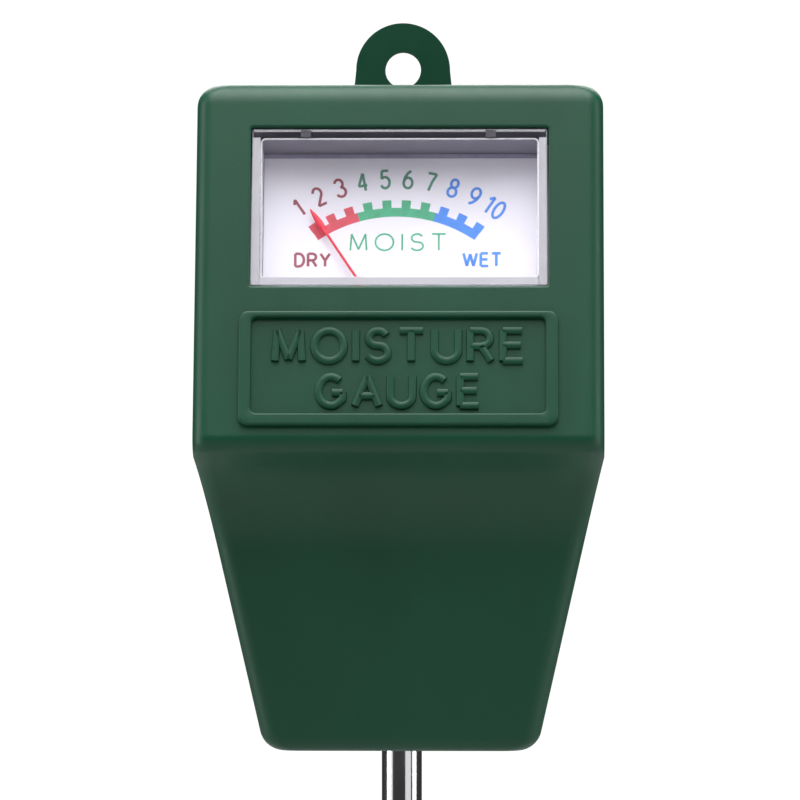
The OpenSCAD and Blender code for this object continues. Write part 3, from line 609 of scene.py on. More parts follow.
def clear_plastic(name):
    """Clear moulded plastic that lets lamps through to the dial."""
    s = Shader(name, (0.97, 0.985, 1.0), 0.02, Transmission_Weight=1.0, IOR=1.49)
    ripple = s.noise(60, 2.0, 0.5)
    s.bump((ripple, 0.00004, 0.10))
    s.see_through((0.99, 0.98, 1.0), 0.0, 1.0)
    return s.mat


def pale_wall(name, rgb):
    """The cover's walls seen edge on: a milky clear, each copy made lighter or darker as painted light and shade.
    """
    s = Shader(name, rgb, 0.3)
    mottle = s.noise(200, 3.0, 0.5)
    s.tint(mottle, scaled(rgb, 0.94), scaled(rgb, 1.0))
    s.see_through((0.94, 0.95, 0.96), 0.25, 0.9)
    return s.mat


def printed(name, rgb):
    """Screen ink, a little uneven where it lies thin."""
    s = Shader(name, rgb, 0.5)
    thin = s.noise(900, 3.0, 0.6)
    s.tint(thin, scaled(rgb, 0.9), scaled(rgb, 1.12))
    s.rough(thin, 0.42, 0.6)
    return s.mat


def dial_card(name, rgb):
    """Smooth coated white with a faint mottle."""
    s = Shader(name, rgb, 0.45)
    mottle = s.noise(300, 4.0, 0.6)
    s.tint(mottle, scaled(rgb, 0.975), scaled(rgb, 1.0))
    s.rough(mottle, 0.4, 0.55)
    s.bump((mottle, 0.00002, 0.1))
    return s.mat


def painted(name, rgb):
    """Thin gloss paint on metal strip."""
    s = Shader(name, rgb, 0.3, Coat_Weight=0.3)
    peel = s.noise(1800, 2.0, 0.5)
    s.tint(peel, scaled(rgb, 0.92), scaled(rgb, 1.08))
    s.rough(peel, 0.25, 0.4)
    s.bump((peel, 0.00001, 0.3))
    return s.mat


def wound_copper(name):
    """Fine enamelled copper wire laid side by side."""
    s = Shader(name, (0.55, 0.17, 0.07), 0.3, 0.9, Coat_Weight=0.4)
    wave = s.tree.nodes.new("ShaderNodeTexWave")
    wave.bands_direction = "X"
    wave.inputs["Scale"].default_value = 2200
    wave.inputs["Distortion"].default_value = 0.4
    s.link(s.coords, wave.inputs["Vector"])
    patch = s.noise(500, 2.0)
    s.tint(patch, (0.42, 0.11, 0.04), (0.70, 0.25, 0.10))
    s.rough(patch, 0.22, 0.4)
    s.bump((wave.outputs["Fac"], 0.00006, 0.8))
    return s.mat


# ---------------------------------------------------------------- head


def front_points(head, inset, fine):
    """Front curve of the head as (height, y), moved inwards by inset. Each run is an arc or a line."""
    pts = []
    y0 = -head.foot_front - head.sweep_z * math.tan(head.lower_lean)
    pts.append((0.0, -head.foot_front, head.lower_lean))
    for i in range(fine + 1):
        a = head.lower_lean + (head.sweep_end - head.lower_lean) * i / fine
        pts.append((head.sweep_z + head.sweep_r * (math.sin(a) - math.sin(head.lower_lean)),
                    y0 + head.sweep_r * (math.cos(a) - math.cos(head.lower_lean)), a))
    z1, y1, _ = pts[-1]
    e, t, r = head.sweep_end, FACE_TILT, head.edge_r
    face = on_face(0, 0, 0)
    rise, reach = r * (math.sin(e) + math.sin(t)), r * (math.cos(t) - math.cos(e))
    run = y1 - reach - face.y - (z1 + rise - face.z) * math.tan(t)
    run /= math.sin(e) + math.cos(e) * math.tan(t)
    zr, yr = z1 + run * math.cos(e), y1 - run * math.sin(e)
    for i in range(fine + 1):
        a = e - (e + t) * i / fine
        pts.append((zr + r * (math.sin(e) - math.sin(a)), yr - r * (math.cos(a) - math.cos(e)), a))
    pts.append((HEAD_H, face.y + (HEAD_H - face.z) * math.tan(t), -t))
    return [(z + inset * math.sin(a), y + inset * math.cos(a)) for z, y, a in pts]


def value_at(points, z):
    """Straight-line reading of (key, value) points."""
    for (z0, y0), (z1, y1) in zip(points, points[1:]):
        if z <= z1:
            break
    return y0 + (y1 - y0) * (z - z0) / (z1 - z0)


def pull_in(r, h):
    """How far a rounded end of radius r pulls in at distance h from the end."""
    return 0.0 if h >= r else r - math.sqrt(max(0.0, r * r - (r - h) ** 2))


def side_at(head, z):
    """Half of the head's width at a height."""
    foot, half = head.foot_w / 2, HEAD_W / 2
    return half if z >= head.knee_z else foot + (half - foot) * z / head.knee_z


def head_levels(head, inset, fine):
    """Heights at which the head's form is drawn, closer together where it curves."""
    top = max(head.top_corner_r - inset, 0.5 * MM)
    foot = max(head.foot_corner_r - inset, 0.5 * MM)
    q = math.pi / 2
    low = [inset + foot * (1 - math.cos(q * i / fine)) for i in range(fine + 1)]
    high = [HEAD_H - inset - top * (1 - math.cos(q * i / fine)) for i in range(fine, -1, -1)]
    middle = [z for z, _ in front_points(head, inset, 2 * fine)] + [head.knee_z]
    gap = 0.25 * MM
    middle = sorted(z for z in middle if low[-1] + gap < z < high[0] - gap)
    kept = []
    for z in middle:
        if not kept or z - kept[-1] > 0.02 * MM:
            kept.append(z)
    return low + kept + high


def head_skin(name, head, inset, back, fine):
    """The head's closed outer form, moved inwards by inset and reaching back to y = back."""
    front = front_points(head, inset, 2 * fine)
    r = max(head.edge_r - inset, 0.4 * MM)
    q = math.pi / 2
    rings = []
    for z in head_levels(head, inset, fine):
        up, down = HEAD_H - inset - z, z - inset
        x = (side_at(head, z) - inset - pull_in(max(head.top_corner_r - inset, 0.5 * MM), up)
             - pull_in(max(head.foot_corner_r - inset, 0.5 * MM), down))
        y = (value_at(front, z) + pull_in(max(head.edge_r - inset, 0.4 * MM), up)
             + pull_in(max(head.foot_edge_r - inset, 0.4 * MM), down))
        left = [Vector((-x + r - r * math.cos(q * i / fine), y + r - r * math.sin(q * i / fine), z))
                for i in range(fine + 1)]
        right = [Vector((-p.x, p.y, p.z)) for p in reversed(left)]
        rings.append(left + right + [Vector((x, back, z)), Vector((-x, back, z))])
    bm = bmesh.new()
    skin_rings(bm, rings)
    return from_bmesh(name, bm)


def face_place(middle_s, front_d):
    """Places outlines on the face: u across, v up, depth out of the face."""
    return lambda u, v, out: on_face(u, front_d - out, middle_s + v)


def window_cutter(head, dial):
    """A rectangle that flares where it meets the face, so that the opening's edge is rounded."""
    w = dial.window_w + 2 * head.window_gap
    h = dial.window_h + 2 * head.window_gap
    middle = dial.window_s + dial.window_h / 2
    r = head.window_round
    lip = [(r * (1 - math.sin(a)), r * (1 - math.cos(a))) for a in (math.pi / 2 * i / 5 for i in range(6))]
    rings = []
    for depth, grow in [(6 * MM, 0.0)] + lip + [(-3 * MM, r)]:
        outline = rounded_rect(w + 2 * grow, h + 2 * grow, 0.35 * MM + grow, 4)
        rings.append([on_face(u, depth, middle + v) for u, v in outline])
    bm = bmesh.new()
    skin_rings(bm, rings)
    return from_bmesh("window_cutter", bm)


def label_frame(head):
    """The raised frame around the label, with rounded edges inside and out."""
    place = face_place(head.label_s, 0.0)
    rise, sunk, r = head.label_rise, -0.6 * MM, 0.28 * MM
    outer = (head.label_w, head.label_h, 1.3 * MM, 0.0)
    inner = (head.label_w - 3.5 * MM, head.label_h - 2.6 * MM, 0.9 * MM, 0.4 * MM)
    q = math.pi / 2

    def ring(size, grow, out):
        w, h, radius, shift = size
        outline = rounded_rect(w + 2 * grow, h + 2 * grow, radius + grow, 8)
        return [place(u, v + shift, out) for u, v in outline]

    turns = [q * i / 4 for i in range(5)]
    rings = [ring(outer, 0.12 * MM, sunk)]
    rings += [ring(outer, -r * (1 - math.cos(a)), rise - r * (1 - math.sin(a))) for a in turns]
    rings += [ring(inner, r * (1 - math.cos(a)), rise - r * (1 - math.sin(a))) for a in reversed(turns)]
    rings.append(ring(inner, -0.12 * MM, sunk))
    bm = bmesh.new()
    rows = skin_rings(bm, rings, False)
    for i in range(len(rows[0])):
        j = (i + 1) % len(rows[0])
        bm.faces.new((rows[-1][i], rows[-1][j], rows[0][j], rows[0][i]))
    return from_bmesh("label_frame", bm)


class METER_OT_front_housing(bpy.types.Operator):
    """Moulds the hollow front housing with its window and raised label"""

    bl_idname = "meter.front_housing"
    bl_label = "Front Housing"

    def execute(self, context):
        head, dial, finish = sizes()
        green = moulded("satin_green", tuple(finish.green))
        shell = head_skin("front_shell", head, 0.0, LID_Y, 10)
        combine(shell, head_skin("hollow", head, head.wall, LID_Y + 10 * MM, 4), "DIFFERENCE")
        combine(shell, window_cutter(head, dial), "DIFFERENCE")
        combine(shell, label_frame(head), "UNION")
        hole = lathe("hole", [(0, -1 * MM), (2.8 * MM, -1 * MM), (2.8 * MM, 4 * MM), (0, 4 * MM)],
                     Vector(), Vector((0, 0, 1)), 64)
        combine(shell, hole, "DIFFERENCE")
        flat_shading(shell)
        fit(shell, "head", "green_plastic", green, "front_housing")
        bead = moulded_bead(1.15 * MM, head.letter_rise, 0.15 * MM)
        letters = [
            lettering("letters", text, tall * MM, wide * MM,
                      face_place(head.label_s + up * MM, 0.0), bead, 0.34)
            for text, wide, tall, up in (("MOISTURE", 37.2, 5.8, 3.45), ("GAUGE", 24.4, 5.6, -3.4))]
        fit(join("label_letters", letters), "head", "green_plastic", green)
        return {"FINISHED"}


def outline_half(head, inset, fine):
    """Right half of the head's outline from the foot up, as (x, z)."""
    q = math.pi / 2
    top = max(head.top_corner_r - inset, 0.5 * MM)
    foot = max(head.foot_corner_r - inset, 0.5 * MM)
    pts = [(side_at(head, inset + h) - inset - pull_in(foot, h), inset + h)
           for h in (foot * (1 - math.cos(q * i / fine)) for i in range(fine + 1))]
    pts.append((HEAD_W / 2 - inset, head.knee_z))
    pts += [(HEAD_W / 2 - inset - pull_in(top, h), HEAD_H - inset - h)
            for h in (top * (1 - math.cos(q * i / fine)) for i in range(fine, -1, -1))]
    return pts


def upright(u, v, y):
    """Places an outline square to the head's depth."""
    return Vector((u, y, v))


class METER_OT_rear_cover(bpy.types.Operator):
    """Moulds the rear cover with its hanging tab, and sets the four screws"""

    bl_idname = "meter.rear_cover"
    bl_label = "Rear Cover"

    def execute(self, context):
        head, _, finish = sizes()
        green = bpy.data.materials["satin_green"]
        hang_z = REAR_HIGH.z - head.tab_r
        half = outline_half(head, 0.0, 10)
        flare = head.tab_r + 0.3 * MM
        root = [(flare + 0.25 * MM, HEAD_H), (flare, HEAD_H + 0.3 * MM)]
        tab = root + arc(0, hang_z, head.tab_r, 0, math.pi, 48) + [(-x, z) for x, z in reversed(root)]
        outline = half + tab + [(-x, z) for x, z in reversed(half)]
        cover = prism("rear_shell", outline, upright, LID_Y, REAR_Y)
        spots = screw_spots()
        into_back = Vector((0, 1, 0))
        deep, past, seat = -4 * MM, 1 * MM, -1.1 * MM
        for x, z in spots:
            steps = [(0, deep), (1.3 * MM, deep), (1.3 * MM, seat),
                     (2.4 * MM, seat), (2.4 * MM, past), (0, past)]
            combine(cover, lathe("sink", steps, Vector((x, REAR_Y, z)), into_back, 48), "DIFFERENCE")
        hole = lathe("hole", [(0, deep), (head.hang_r, deep), (head.hang_r, past), (0, past)],
                     Vector((0, REAR_Y, hang_z)), into_back, 96)
        combine(cover, hole, "DIFFERENCE")
        soften(cover, 0.3 * MM, 3, 40)
        fit(cover, "head", "green_plastic", green, "rear_cover")
        steel = turned_metal("screw_steel", (0.55, 0.55, 0.57), 0.3)
        made = [cross_screw(x, z) for x, z in spots]
        for ob in made:
            ob.data.materials.append(steel)
        fit(join("rear_screw_set", made), "head", "steel_hardware", None, "rear_screws")
        return {"FINISHED"}


def screw_spots():
    """The middles of the four rear screws, read from their node's separate solids."""
    low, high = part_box("rear_screws")
    r = 2.2 * MM
    verts = [v.co for v in frame["nodes"]["rear_screws"].data.vertices]
    foot = [v for v in verts if v.z < (low.z + high.z) / 2]
    foot_x = max(v.x for v in foot) - r
    return [(high.x - r, high.z - r), (-high.x + r, high.z - r), (foot_x, low.z + r), (-foot_x, low.z + r)]


def cross_screw(x, z):
    """A pan-head screw with a cross recess, its head just under the rear face."""
    seat = -1.1 * MM
    profile = [(0, seat - 7 * MM), (0.5 * MM, seat - 7 * MM), (0.88 * MM, seat - 6.2 * MM), (0.88 * MM, seat),
               (2.15 * MM, seat), (2.2 * MM, seat + 0.15 * MM), (2.1 * MM, seat + 0.5 * MM),
               (1.7 * MM, seat + 0.78 * MM), (1.0 * MM, seat + 0.88 * MM), (0, seat + 0.9 * MM)]
    screw = lathe("screw", profile, Vector((x, REAR_Y, z)), Vector((0, 1, 0)), 40)
    for w, h in ((2.3 * MM, 0.5 * MM), (0.5 * MM, 2.3 * MM)):
        slot = [(x + sx * w / 2, z + sz * h / 2) for sx, sz in ((-1, -1), (1, -1), (1, 1), (-1, 1))]
        combine(screw, prism("slot", slot, upright, REAR_Y + seat + 0.35 * MM, REAR_Y + 1 * MM), "DIFFERENCE")
    return flat_shading(screw)


# ---------------------------------------------------------------- window, dial and needle


def face_block(name, x, depth, rise):
    """A closed block given by its (low, high) pairs across, into and up the face."""
    outline = [(x[0], rise[0]), (x[1], rise[0]), (x[1], rise[1]), (x[0], rise[1])]
    return prism(name, outline, lambda u, v, d: on_face(u, d, v), depth[0], depth[1])


def inside_corner(dial):
    """Painted highlight: a pale bead stands in for the bright line along the rounded corner that runs round the
    inside of the cover's pane.
    """
    w, h = dial.window_w - 2 * dial.pane, dial.window_h - 2 * dial.pane
    corner, thick = 0.7 * MM, 0.13 * MM
    middle = dial.window_s + dial.window_h / 2
    x, z = w / 2 - corner, h / 2 - corner
    loop = []
    for cx, cz, start in ((-x, -z, 180), (x, -z, 270), (x, z, 0), (-x, z, 90)):
        loop += bend(cx, middle + cz, corner, corner, start, start + 90)
    bm = bmesh.new()
    stroke(bm, loop + loop[:1], tube_ring(thick, thick, 8),
           lambda u, v, out: on_face(u, COVER_FRONT + dial.pane + out, v))
    bead = from_bmesh("inside_corner", bm)
    bead.data.materials.append(painted("cover_edge_painted_highlight", (0.86, 0.84, 0.88)))
    return bead


def painted_rim_reflections(dial):
    """Painted reflection: pale blocks just inside the cover's front stand in for the light reflected along its
    walls seen edge on, at the two sides, the bottom and a thin top line.
    """
    half, p = dial.window_w / 2, dial.pane
    low, high = dial.window_s, dial.window_s + dial.window_h
    skin, inner = 0.15 * MM, p - 0.1 * MM
    depth = (COVER_FRONT + 0.15 * MM, COVER_FRONT + 0.45 * MM)
    painted_reflection = pale_wall("cover_rim_painted_reflection", (0.47, 0.46, 0.49))
    rims = [face_block("rim", x, depth, rise) for x, rise in (
        ((-half + skin, -half + inner), (low + skin, high - p)),
        ((half - inner, half - skin), (low + skin, high - p)),
        ((-half + p, half - p), (low + skin, low + inner)),
        ((-half + 2 * skin, half - 2 * skin), (high - 0.42 * MM, high - skin)))]
    for rim in rims:
        rim.data.materials.append(painted_reflection)
    return rims


def snap_lugs(dial):
    """Two small lugs in the cover's top edge, coloured dark as painted shade for the shadow they cast."""
    high, reach = dial.window_s + dial.window_h, 0.75 * MM
    depth = (COVER_FRONT + 0.05 * MM, COVER_FRONT + 0.15 * MM)
    dark = moulded("cover_lug_painted_shade", (0.06, 0.055, 0.07), 0.4)
    lugs = [face_block("lug", (x - reach, x + reach), depth, (high - 1.25 * MM, high - 0.15 * MM))
            for x in (-13.8 * MM, 13.4 * MM)]
    for lug in lugs:
        lug.data.materials.append(dark)
    return lugs


class METER_OT_clear_cover(bpy.types.Operator):
    """Moulds the clear box cover that shows in the window"""

    bl_idname = "meter.clear_cover"
    bl_label = "Clear Cover"

    def execute(self, context):
        head, dial, _ = sizes()
        half, p = dial.window_w / 2, dial.pane
        low, high = dial.window_s, dial.window_s + dial.window_h
        front, base_d = COVER_FRONT, dial.dial_d + 0.5 * MM
        chamber = head.wall + 0.4 * MM
        cover = face_block("clear_shell", (-half, half), (front, base_d), (low, high))
        combine(cover, face_block("lower", (-half, half), (chamber, base_d), (8 * MM, low + 2 * MM)), "UNION")
        combine(cover, face_block("inside", (-half + p, half - p), (front + p, base_d + 1 * MM),
                                  (low + p, high - p)), "DIFFERENCE")
        combine(cover, face_block("inside", (-half + p, half - p), (chamber + p, base_d + 1 * MM),
                                  (8 * MM + p, low + p + 1 * MM)), "DIFFERENCE")
        soften(cover, 0.22 * MM, 3, 40)
        # Painted light and shade: the sides and bottom get a pale copy of the milky material and the top wall a
        # dark copy, for how light falls on each.
        for mat in (clear_plastic("clear_pane"), pale_wall("cover_walls_painted_light", (0.96, 0.94, 0.98)),
                    pale_wall("cover_ceiling_painted_shade", (0.30, 0.28, 0.34))):
            cover.data.materials.append(mat)
        pane, wall, ceiling = range(3)
        for f in cover.data.polygons:
            rise = (f.center - on_face(0, 0, 0)).dot(UP_FACE)
            side = ceiling if rise > high - 2 * p else wall
            f.material_index = pane if abs(f.normal.dot(INTO)) > 0.9 else side
        pieces = [cover, inside_corner(dial)] + painted_rim_reflections(dial) + snap_lugs(dial)
        fit(join("clear_cover", pieces), "head", "clear_plastic", None, "meter_cover")
        return {"FINISHED"}


def scale_band(name, dial, start, end, marks):
    """One coloured stretch of the scale, with a tooth under each of its marks."""
    steps = max(2, round((end - start) / math.radians(0.35)))
    front, back = dial.dial_d - dial.ink, dial.dial_d
    stops = [start + (end - start) * i / steps for i in range(steps + 1)]
    bm = bmesh.new()

    def cell(a0, a1, r0, r1):
        corners = ((r0, a0), (r1, a0), (r1, a1), (r0, a1))
        skin_rings(bm, [[on_dial(r, a, d) for r, a in corners] for d in (front, back)])

    for a0, a1 in zip(stops, stops[1:]):
        cell(a0, a1, dial.band_in, dial.band_out)
    for mark in marks:
        for i in range(6):
            a = mark + dial.tooth * (i / 6 - 0.5)
            cell(a, a + dial.tooth / 6, dial.band_out, dial.tooth_out)
    bmesh.ops.remove_doubles(bm, verts=bm.verts, dist=1e-8)
    return from_bmesh(name, bm, False)


def number_place(dial, angle):
    """Places a number on the scale's arc, turned with it."""
    return lambda u, v, out: on_dial(dial.number_r + v, angle, dial.dial_d - out, u)


class METER_OT_dial(bpy.types.Operator):
    """Finishes the dial and prints its scale, numbers and words"""

    bl_idname = "meter.dial"
    bl_label = "Dial"

    def execute(self, context):
        _, dial, finish = sizes()
        plate = frame["nodes"]["dial_plate"]
        plate.data.materials.clear()
        plate.data.materials.append(dial_card("dial_card", tuple(finish.dial)))
        inks = {key: printed(key, tuple(getattr(finish, key))) for key in (
            "red_ink", "dark_red_ink", "green_ink", "dark_green_ink", "blue_ink")}
        marks = [dial.step * (i - 4.5) for i in range(10)]
        end = marks[-1] + math.radians(1.6)
        change = dial.step * 2.12
        bands = [("red_ink", -end, -change, marks[:3]), ("green_ink", -change, change, marks[3:7]),
                 ("blue_ink", change, end, marks[7:])]
        prints = []
        for ink, start, stop, own in bands:
            ob = scale_band("band", dial, start, stop, own)
            ob.data.materials.append(inks[ink])
            prints.append(ob)
        fit(join("scale_bands", prints), "head", "dial_white")
        prints = []
        for i, mark in enumerate(marks):
            ink = "dark_red_ink" if i < 3 else "dark_green_ink" if i < 7 else "blue_ink"
            a = mark * 1.02
            wide = {0: 0.33, 9: 1.02}.get(i, 0.54) * dial.number_h
            ob = lettering("number", str(i + 1), dial.number_h, wide, number_place(dial, a),
                           ink_line(0.4 * MM, dial.ink))
            ob.data.materials.append(inks[ink])
            prints.append(ob)
        words = [("MOIST", -0.35, 32.5, 14.4, 2.8, "green_ink", 0.28, 0.42),
                 ("DRY", -13.0, 29.75, 5.5, 2.35, "dark_red_ink", 0.40, 0.30),
                 ("WET", 12.1, 29.8, 5.9, 2.35, "blue_ink", 0.40, 0.30)]
        for text, x, up, wide, tall, ink, weight, gap in words:
            ob = lettering("word", text, tall * MM, wide * MM,
                           lambda u, v, out, x=x, up=up: on_face(x * MM + u, dial.dial_d - out, up * MM + v),
                           ink_line(weight * MM, dial.ink), gap)
            ob.data.materials.append(inks[ink])
            prints.append(ob)
        # Painted shade: a grey-purple strip along the dial card's top edge stands in for the shade under the
        # window's top wall.
        top = max((plate.matrix_world @ v.co - on_face(0, 0, 0)).dot(UP_FACE) for v in plate.data.vertices)
        half = dial.window_w / 2 - dial.pane
        ob = face_block("painted_shade_strip", (-half, half), (dial.dial_d - dial.ink, dial.dial_d),
                        (top - 0.65 * MM, top))
        ob.data.materials.append(printed("painted_shade_ink", (0.40, 0.37, 0.48)))
        prints.append(ob)
        fit(join("scale_numbers", prints), "head", "dial_white")
        return {"FINISHED"}


class METER_OT_needle(bpy.types.Operator):
    """Shapes the red needle on its hub"""

    bl_idname = "meter.needle"
    bl_label = "Needle"

    def execute(self, context):
        _, dial, finish = sizes()
        red = painted("needle_paint", tuple(finish.needle))
        angle = -dial.step * 4.5
        depth = dial.dial_d - 1.35 * MM + 0.15 * MM
        along = UP_FACE * math.cos(angle) + ACROSS * math.sin(angle)
        side = ACROSS * math.cos(angle) - UP_FACE * math.sin(angle)
        middle = on_face(0, depth, dial.pivot_s)

        def ribbon(start, across, half_wide, half_thick):
            oval = tube_ring(half_wide, half_thick, 12)
            return [start + across * u + INTO * v for u, v in oval]

        reach, thick = dial.needle_len, 0.14 * MM
        stem = ((0.9 * MM, 0.33), (6 * MM, 0.26), (14 * MM, 0.19), (reach - 4.8 * MM, 0.19))
        spear = ((3.8, 0.42), (2.6, 0.52), (1.2, 0.36), (0.3, 0.16), (0.0, 0.03))
        bm = bmesh.new()
        skin_rings(bm, [ribbon(middle + along * r, side, half * MM, min(thick, half * MM))
                        for r, half in stem + tuple((reach - back * MM, half) for back, half in spear)])
        blade = from_bmesh("blade", bm)
        hub = turned("hub", bored([(1.1 * MM, -0.3 * MM), (1.2 * MM, -0.2 * MM), (1.2 * MM, 0.2 * MM),
                                   (1.1 * MM, 0.3 * MM)], 0.42 * MM), middle, INTO, 48)
        arms = []
        for direction, long in ((side, 3.4), (-side, 3.4), (-along, 3.6)):
            across = INTO.cross(direction)
            bm = bmesh.new()
            skin_rings(bm, [ribbon(middle + direction * (r * MM), across, 0.35 * MM, thick)
                            for r in (0.9, long)])
            arms.append(from_bmesh("arm", bm))
        fit(join("needle", [blade, hub] + arms), "pointer_coil", "red_pointer", red, "pointer")
        return {"FINISHED"}


# ---------------------------------------------------------------- probe and movement


class METER_OT_probe(bpy.types.Operator):
    """Turns the bright probe tube, its insulating collar and its pointed tip"""

    bl_idname = "meter.probe"
    bl_label = "Probe"

    def execute(self, context):
        _, _, finish = sizes()
        up = Vector((0, 0, 1))
        r = (TUBE_HIGH.x - TUBE_LOW.x) / 2
        chamfer, core_bore = 0.12 * MM, 1.36 * MM
        bore, stem = r - 0.8 * MM, r - 0.25 * MM
        seat = (stem + bore) / 2
        shoulder = [(r, 0.0), (stem, 0.0)]
        groove = [(stem, 5.9 * MM), (seat, 5.9 * MM), (seat, 7.1 * MM), (stem, 7.1 * MM)]
        tube = ([(r - chamfer, TUBE_LOW.z), (r, TUBE_LOW.z + chamfer)] + shoulder + groove
                + [(stem, TUBE_HIGH.z - chamfer), (stem - chamfer, TUBE_HIGH.z)])
        ob = turned("bright_tube", bored(tube, bore), Vector(), up, 128)
        fit(ob, "head", "bright_metal", polished_metal("bright_metal", tuple(finish.chrome)), "probe_tube")
        low, high = COLLAR_LOW.z, COLLAR_HIGH.z
        collar = [(r - 0.25 * MM, low), (r, low + 0.2 * MM), (r, high - 0.2 * MM), (r - 0.25 * MM, high)]
        ob = turned("black_collar", bored(collar, core_bore), Vector(), up, 96)
        black = moulded("black_plastic", tuple(finish.black), 0.35)
        fit(ob, "head", "black_plastic", black, "insulator_collar")
        low, high = TIP_LOW.z, TIP_HIGH.z
        point = [(0, low), (0.28 * MM, low + 0.08 * MM), (0.5 * MM, low + 0.35 * MM),
                 (0.62 * MM, low + 0.7 * MM)]
        body = [(r - pull * MM, high - down * MM) for pull, down in (
            (0.4, 13), (0.22, 12.4), (0.08, 11.6), (0, 10.5), (0, 0.2), (0.15, 0))]
        socket = [(core_bore, high), (core_bore, high - 5 * MM), (0, high - 5 * MM)]
        ob = lathe("pointed_tip", point + body + socket, Vector(), up, 96)
        fit(ob, "head", "dull_metal", turned_metal("dull_metal", tuple(finish.zinc)), "probe_tip")
        return {"FINISHED"}


class METER_OT_movement(bpy.types.Operator):
    """Finishes the moving-coil movement, wiring and fixings inside the head"""

    bl_idname = "meter.movement"
    bl_label = "Movement"

    def execute(self, context):
        finishes = {
            "steel_hardware": turned_metal("inner_steel", (0.55, 0.56, 0.58), 0.25),
            "grey_plastic": moulded("base_plastic", (0.62, 0.62, 0.60), 0.5),
            "soft_iron": turned_metal("soft_iron", (0.22, 0.22, 0.24), 0.4),
            "magnet": turned_metal("magnet", (0.07, 0.07, 0.08), 0.45),
            "brass_parts": turned_metal("brass", (0.58, 0.40, 0.13), 0.28),
            "jewel": Shader("jewel", (0.5, 0.02, 0.05), 0.05, Coat_Weight=0.5).mat,
            "resistor_body": moulded("resistor_body", (0.55, 0.40, 0.20), 0.3),
            "red_lead": moulded("red_lead", (0.45, 0.01, 0.01), 0.45),
            "black_lead": moulded("black_lead", (0.01, 0.01, 0.01), 0.45),
            "liner_plastic": moulded("liner_plastic", (0.75, 0.75, 0.72), 0.5),
            "former_metal": turned_metal("former_metal", (0.6, 0.61, 0.63), 0.3),
        }
        own = {
            "coil_winding": wound_copper("wound_copper"),
            "inner_conductor": turned_metal("copper", (0.62, 0.24, 0.11), 0.25),
        }
        for part in frame["record"]["subparts"]:
            node = frame["nodes"][part["node"]]
            mat = own.get(part["node"]) or finishes.get(part["material_slot"])
            if mat:
                node.data.materials.clear()
                node.data.materials.append(mat)
        return {"FINISHED"}


# ---------------------------------------------------------------- stage


def lamp(name, place, target, w, h, watts):
    """A soft rectangular lamp that isn't itself seen."""
    data = bpy.data.lights.new(name, "AREA")
    data.shape = "RECTANGLE"
    data.size, data.size_y = w, h
    data.energy = watts
    ob = new_object(name, data)
    ob.location = place
    ob.visible_camera = False
    ob.rotation_euler = (Vector(target) - Vector(place)).to_track_quat("-Z", "Y").to_euler()


def pale_floor(name, height, reach, shade):
    """A plain studio floor that turns white far away, so that no horizon shows."""
    mat = bpy.data.materials.new(name)
    mat.use_nodes = True
    nodes, links = mat.node_tree.nodes, mat.node_tree.links
    bsdf = nodes["Principled BSDF"]
    bsdf.inputs["Base Color"].default_value = (shade, shade, shade, 1)
    bsdf.inputs["Roughness"].default_value = 0.9
    bsdf.inputs["Emission Color"].default_value = (1, 1, 1, 1)
    spot = nodes.new("ShaderNodeTexCoord").outputs["Object"]
    away = nodes.new("ShaderNodeVectorMath")
    away.operation = "LENGTH"
    links.new(spot, away.inputs[0])
    glow = nodes.new("ShaderNodeMapRange")
    glow.interpolation_type = "SMOOTHSTEP"
    for socket, value in (("From Min", 0.2), ("From Max", 1.1), ("To Min", 0.0), ("To Max", 1.0)):
        glow.inputs[socket].default_value = value
    links.new(away.outputs["Value"], glow.inputs["Value"])
    seen = nodes.new("ShaderNodeMath")
    seen.operation = "MULTIPLY"
    links.new(glow.outputs["Result"], seen.inputs[0])
    links.new(nodes.new("ShaderNodeLightPath").outputs["Is Camera Ray"], seen.inputs[1])
    links.new(seen.outputs[0], bsdf.inputs["Emission Strength"])
    bm = bmesh.new()
    bm.faces.new([bm.verts.new((x * reach, y * reach, 0.0)) for x, y in ((-1, -1), (1, -1), (1, 1), (-1, 1))])
    ob = from_bmesh(name, bm, False)
    ob.location = (0, 0, height)
    ob.data.materials.append(mat)


def white_surround():
    """A dim even room that is seen as plain white."""
    world = bpy.data.worlds.new("studio")
    world.use_nodes = True
    nodes, links = world.node_tree.nodes, world.node_tree.links
    room, seen = nodes["Background"], nodes.new("ShaderNodeBackground")
    for background, strength in ((room, 0.05), (seen, 1.05)):
        background.inputs["Color"].default_value = (1, 1, 1, 1)
        background.inputs["Strength"].default_value = strength
    mix = nodes.new("ShaderNodeMixShader")
    links.new(nodes.new("ShaderNodeLightPath").outputs["Is Camera Ray"], mix.inputs[0])
    links.new(room.outputs[0], mix.inputs[1])
    links.new(seen.outputs[0], mix.inputs[2])
    links.new(mix.outputs[0], nodes["World Output"].inputs["Surface"])
    return world


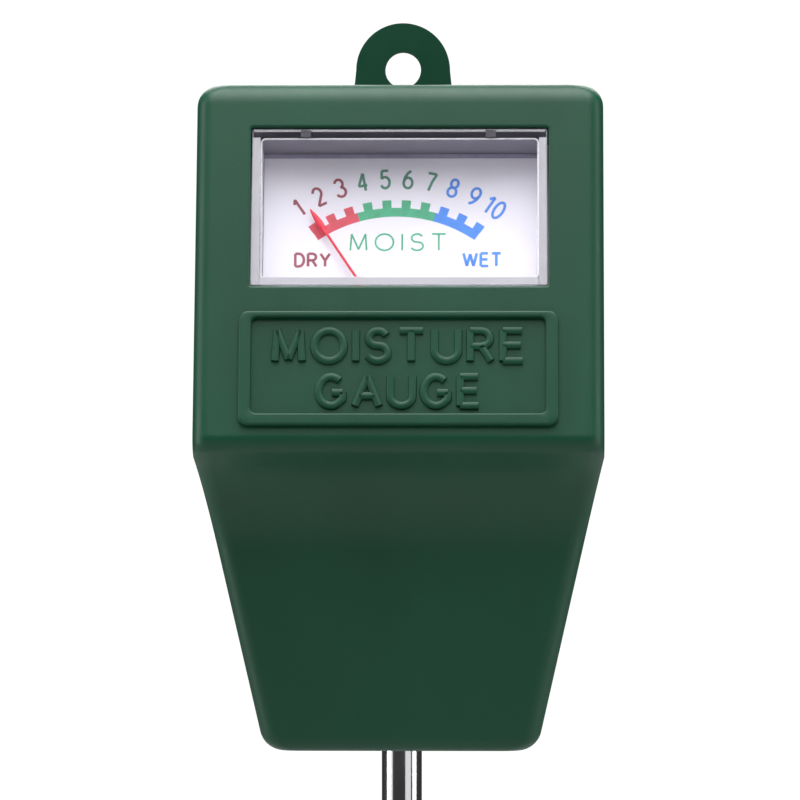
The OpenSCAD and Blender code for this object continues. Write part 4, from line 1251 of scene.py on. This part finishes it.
class METER_OT_stage(bpy.types.Operator):
    """Sets the pale floor, the white surround, the soft lights and the camera"""

    bl_idname = "meter.stage"
    bl_label = "Stage"

    def execute(self, context):
        scene = context.scene
        scene.view_settings.view_transform = "Standard"
        scene.view_settings.look = "None"
        scene.world = white_surround()
        floor_z = CAD_BOX[0][2] - 0.5 * MM
        pale_floor("floor_paper", floor_z, 4.0, 0.45)
        head, probe = (0, -0.01, 0.05), (0, 0, -0.05)
        lamp("top_light", (0, -0.02, 0.72), head, 0.7, 0.5, 6.4)
        lamp("front_light", (0, -0.42, 0.62), head, 0.7, 0.4, 3.3)
        lamp("left_light", (-0.62, -0.12, 0.12), head, 0.3, 0.8, 2.3)
        lamp("right_light", (0.62, -0.12, 0.12), head, 0.3, 0.8, 1.8)
        lamp("back_light", (0, 0.75, 0.42), head, 0.7, 0.5, 4.0)
        lamp("low_left_light", (-0.564, -0.205, -0.06), probe, 0.36, 0.14, 0.13)
        lamp("low_right_light", (0.37, -0.473, -0.06), probe, 0.36, 0.14, 0.13)
        data = bpy.data.cameras.new("camera")
        data.sensor_width = 36.0
        data.lens = 240.3
        data.clip_start = 0.01
        data.clip_end = 20
        camera = new_object("camera", data)
        camera.location = (0.018, -0.800, 0.05206)
        camera.rotation_euler = (math.radians(90), 0, math.radians(1.309))
        scene.camera = camera
        return {"FINISHED"}


class METER_PT_panel(bpy.types.Panel):
    """Lists the meter's pieces and its stage"""

    bl_label = "Soil Moisture Meter"
    bl_idname = "METER_PT_panel"
    bl_space_type = "VIEW_3D"
    bl_region_type = "UI"
    bl_category = "Meter"

    def draw(self, context):
        for operator in OPERATORS:
            self.layout.operator(operator.bl_idname)


OPERATORS = (
    METER_OT_stage,
    METER_OT_front_housing,
    METER_OT_rear_cover,
    METER_OT_clear_cover,
    METER_OT_dial,
    METER_OT_needle,
    METER_OT_probe,
    METER_OT_movement,
)
GROUPS = {"meter_head": MeterHead, "meter_dial": MeterDial, "meter_finish": MeterFinish}


def register():
    for cls in (*GROUPS.values(), *OPERATORS, METER_PT_panel):
        bpy.utils.register_class(cls)
    for name, cls in GROUPS.items():
        setattr(bpy.types.Scene, name, bpy.props.PointerProperty(type=cls))


def unregister():
    for name in GROUPS:
        delattr(bpy.types.Scene, name)
    for cls in reversed((*GROUPS.values(), *OPERATORS, METER_PT_panel)):
        bpy.utils.unregister_class(cls)


def main():
    register()
    for operator in OPERATORS:
        family, name = operator.bl_idname.split(".")
        getattr(getattr(bpy.ops, family), name)()


if __name__ == "__main__":
    main()
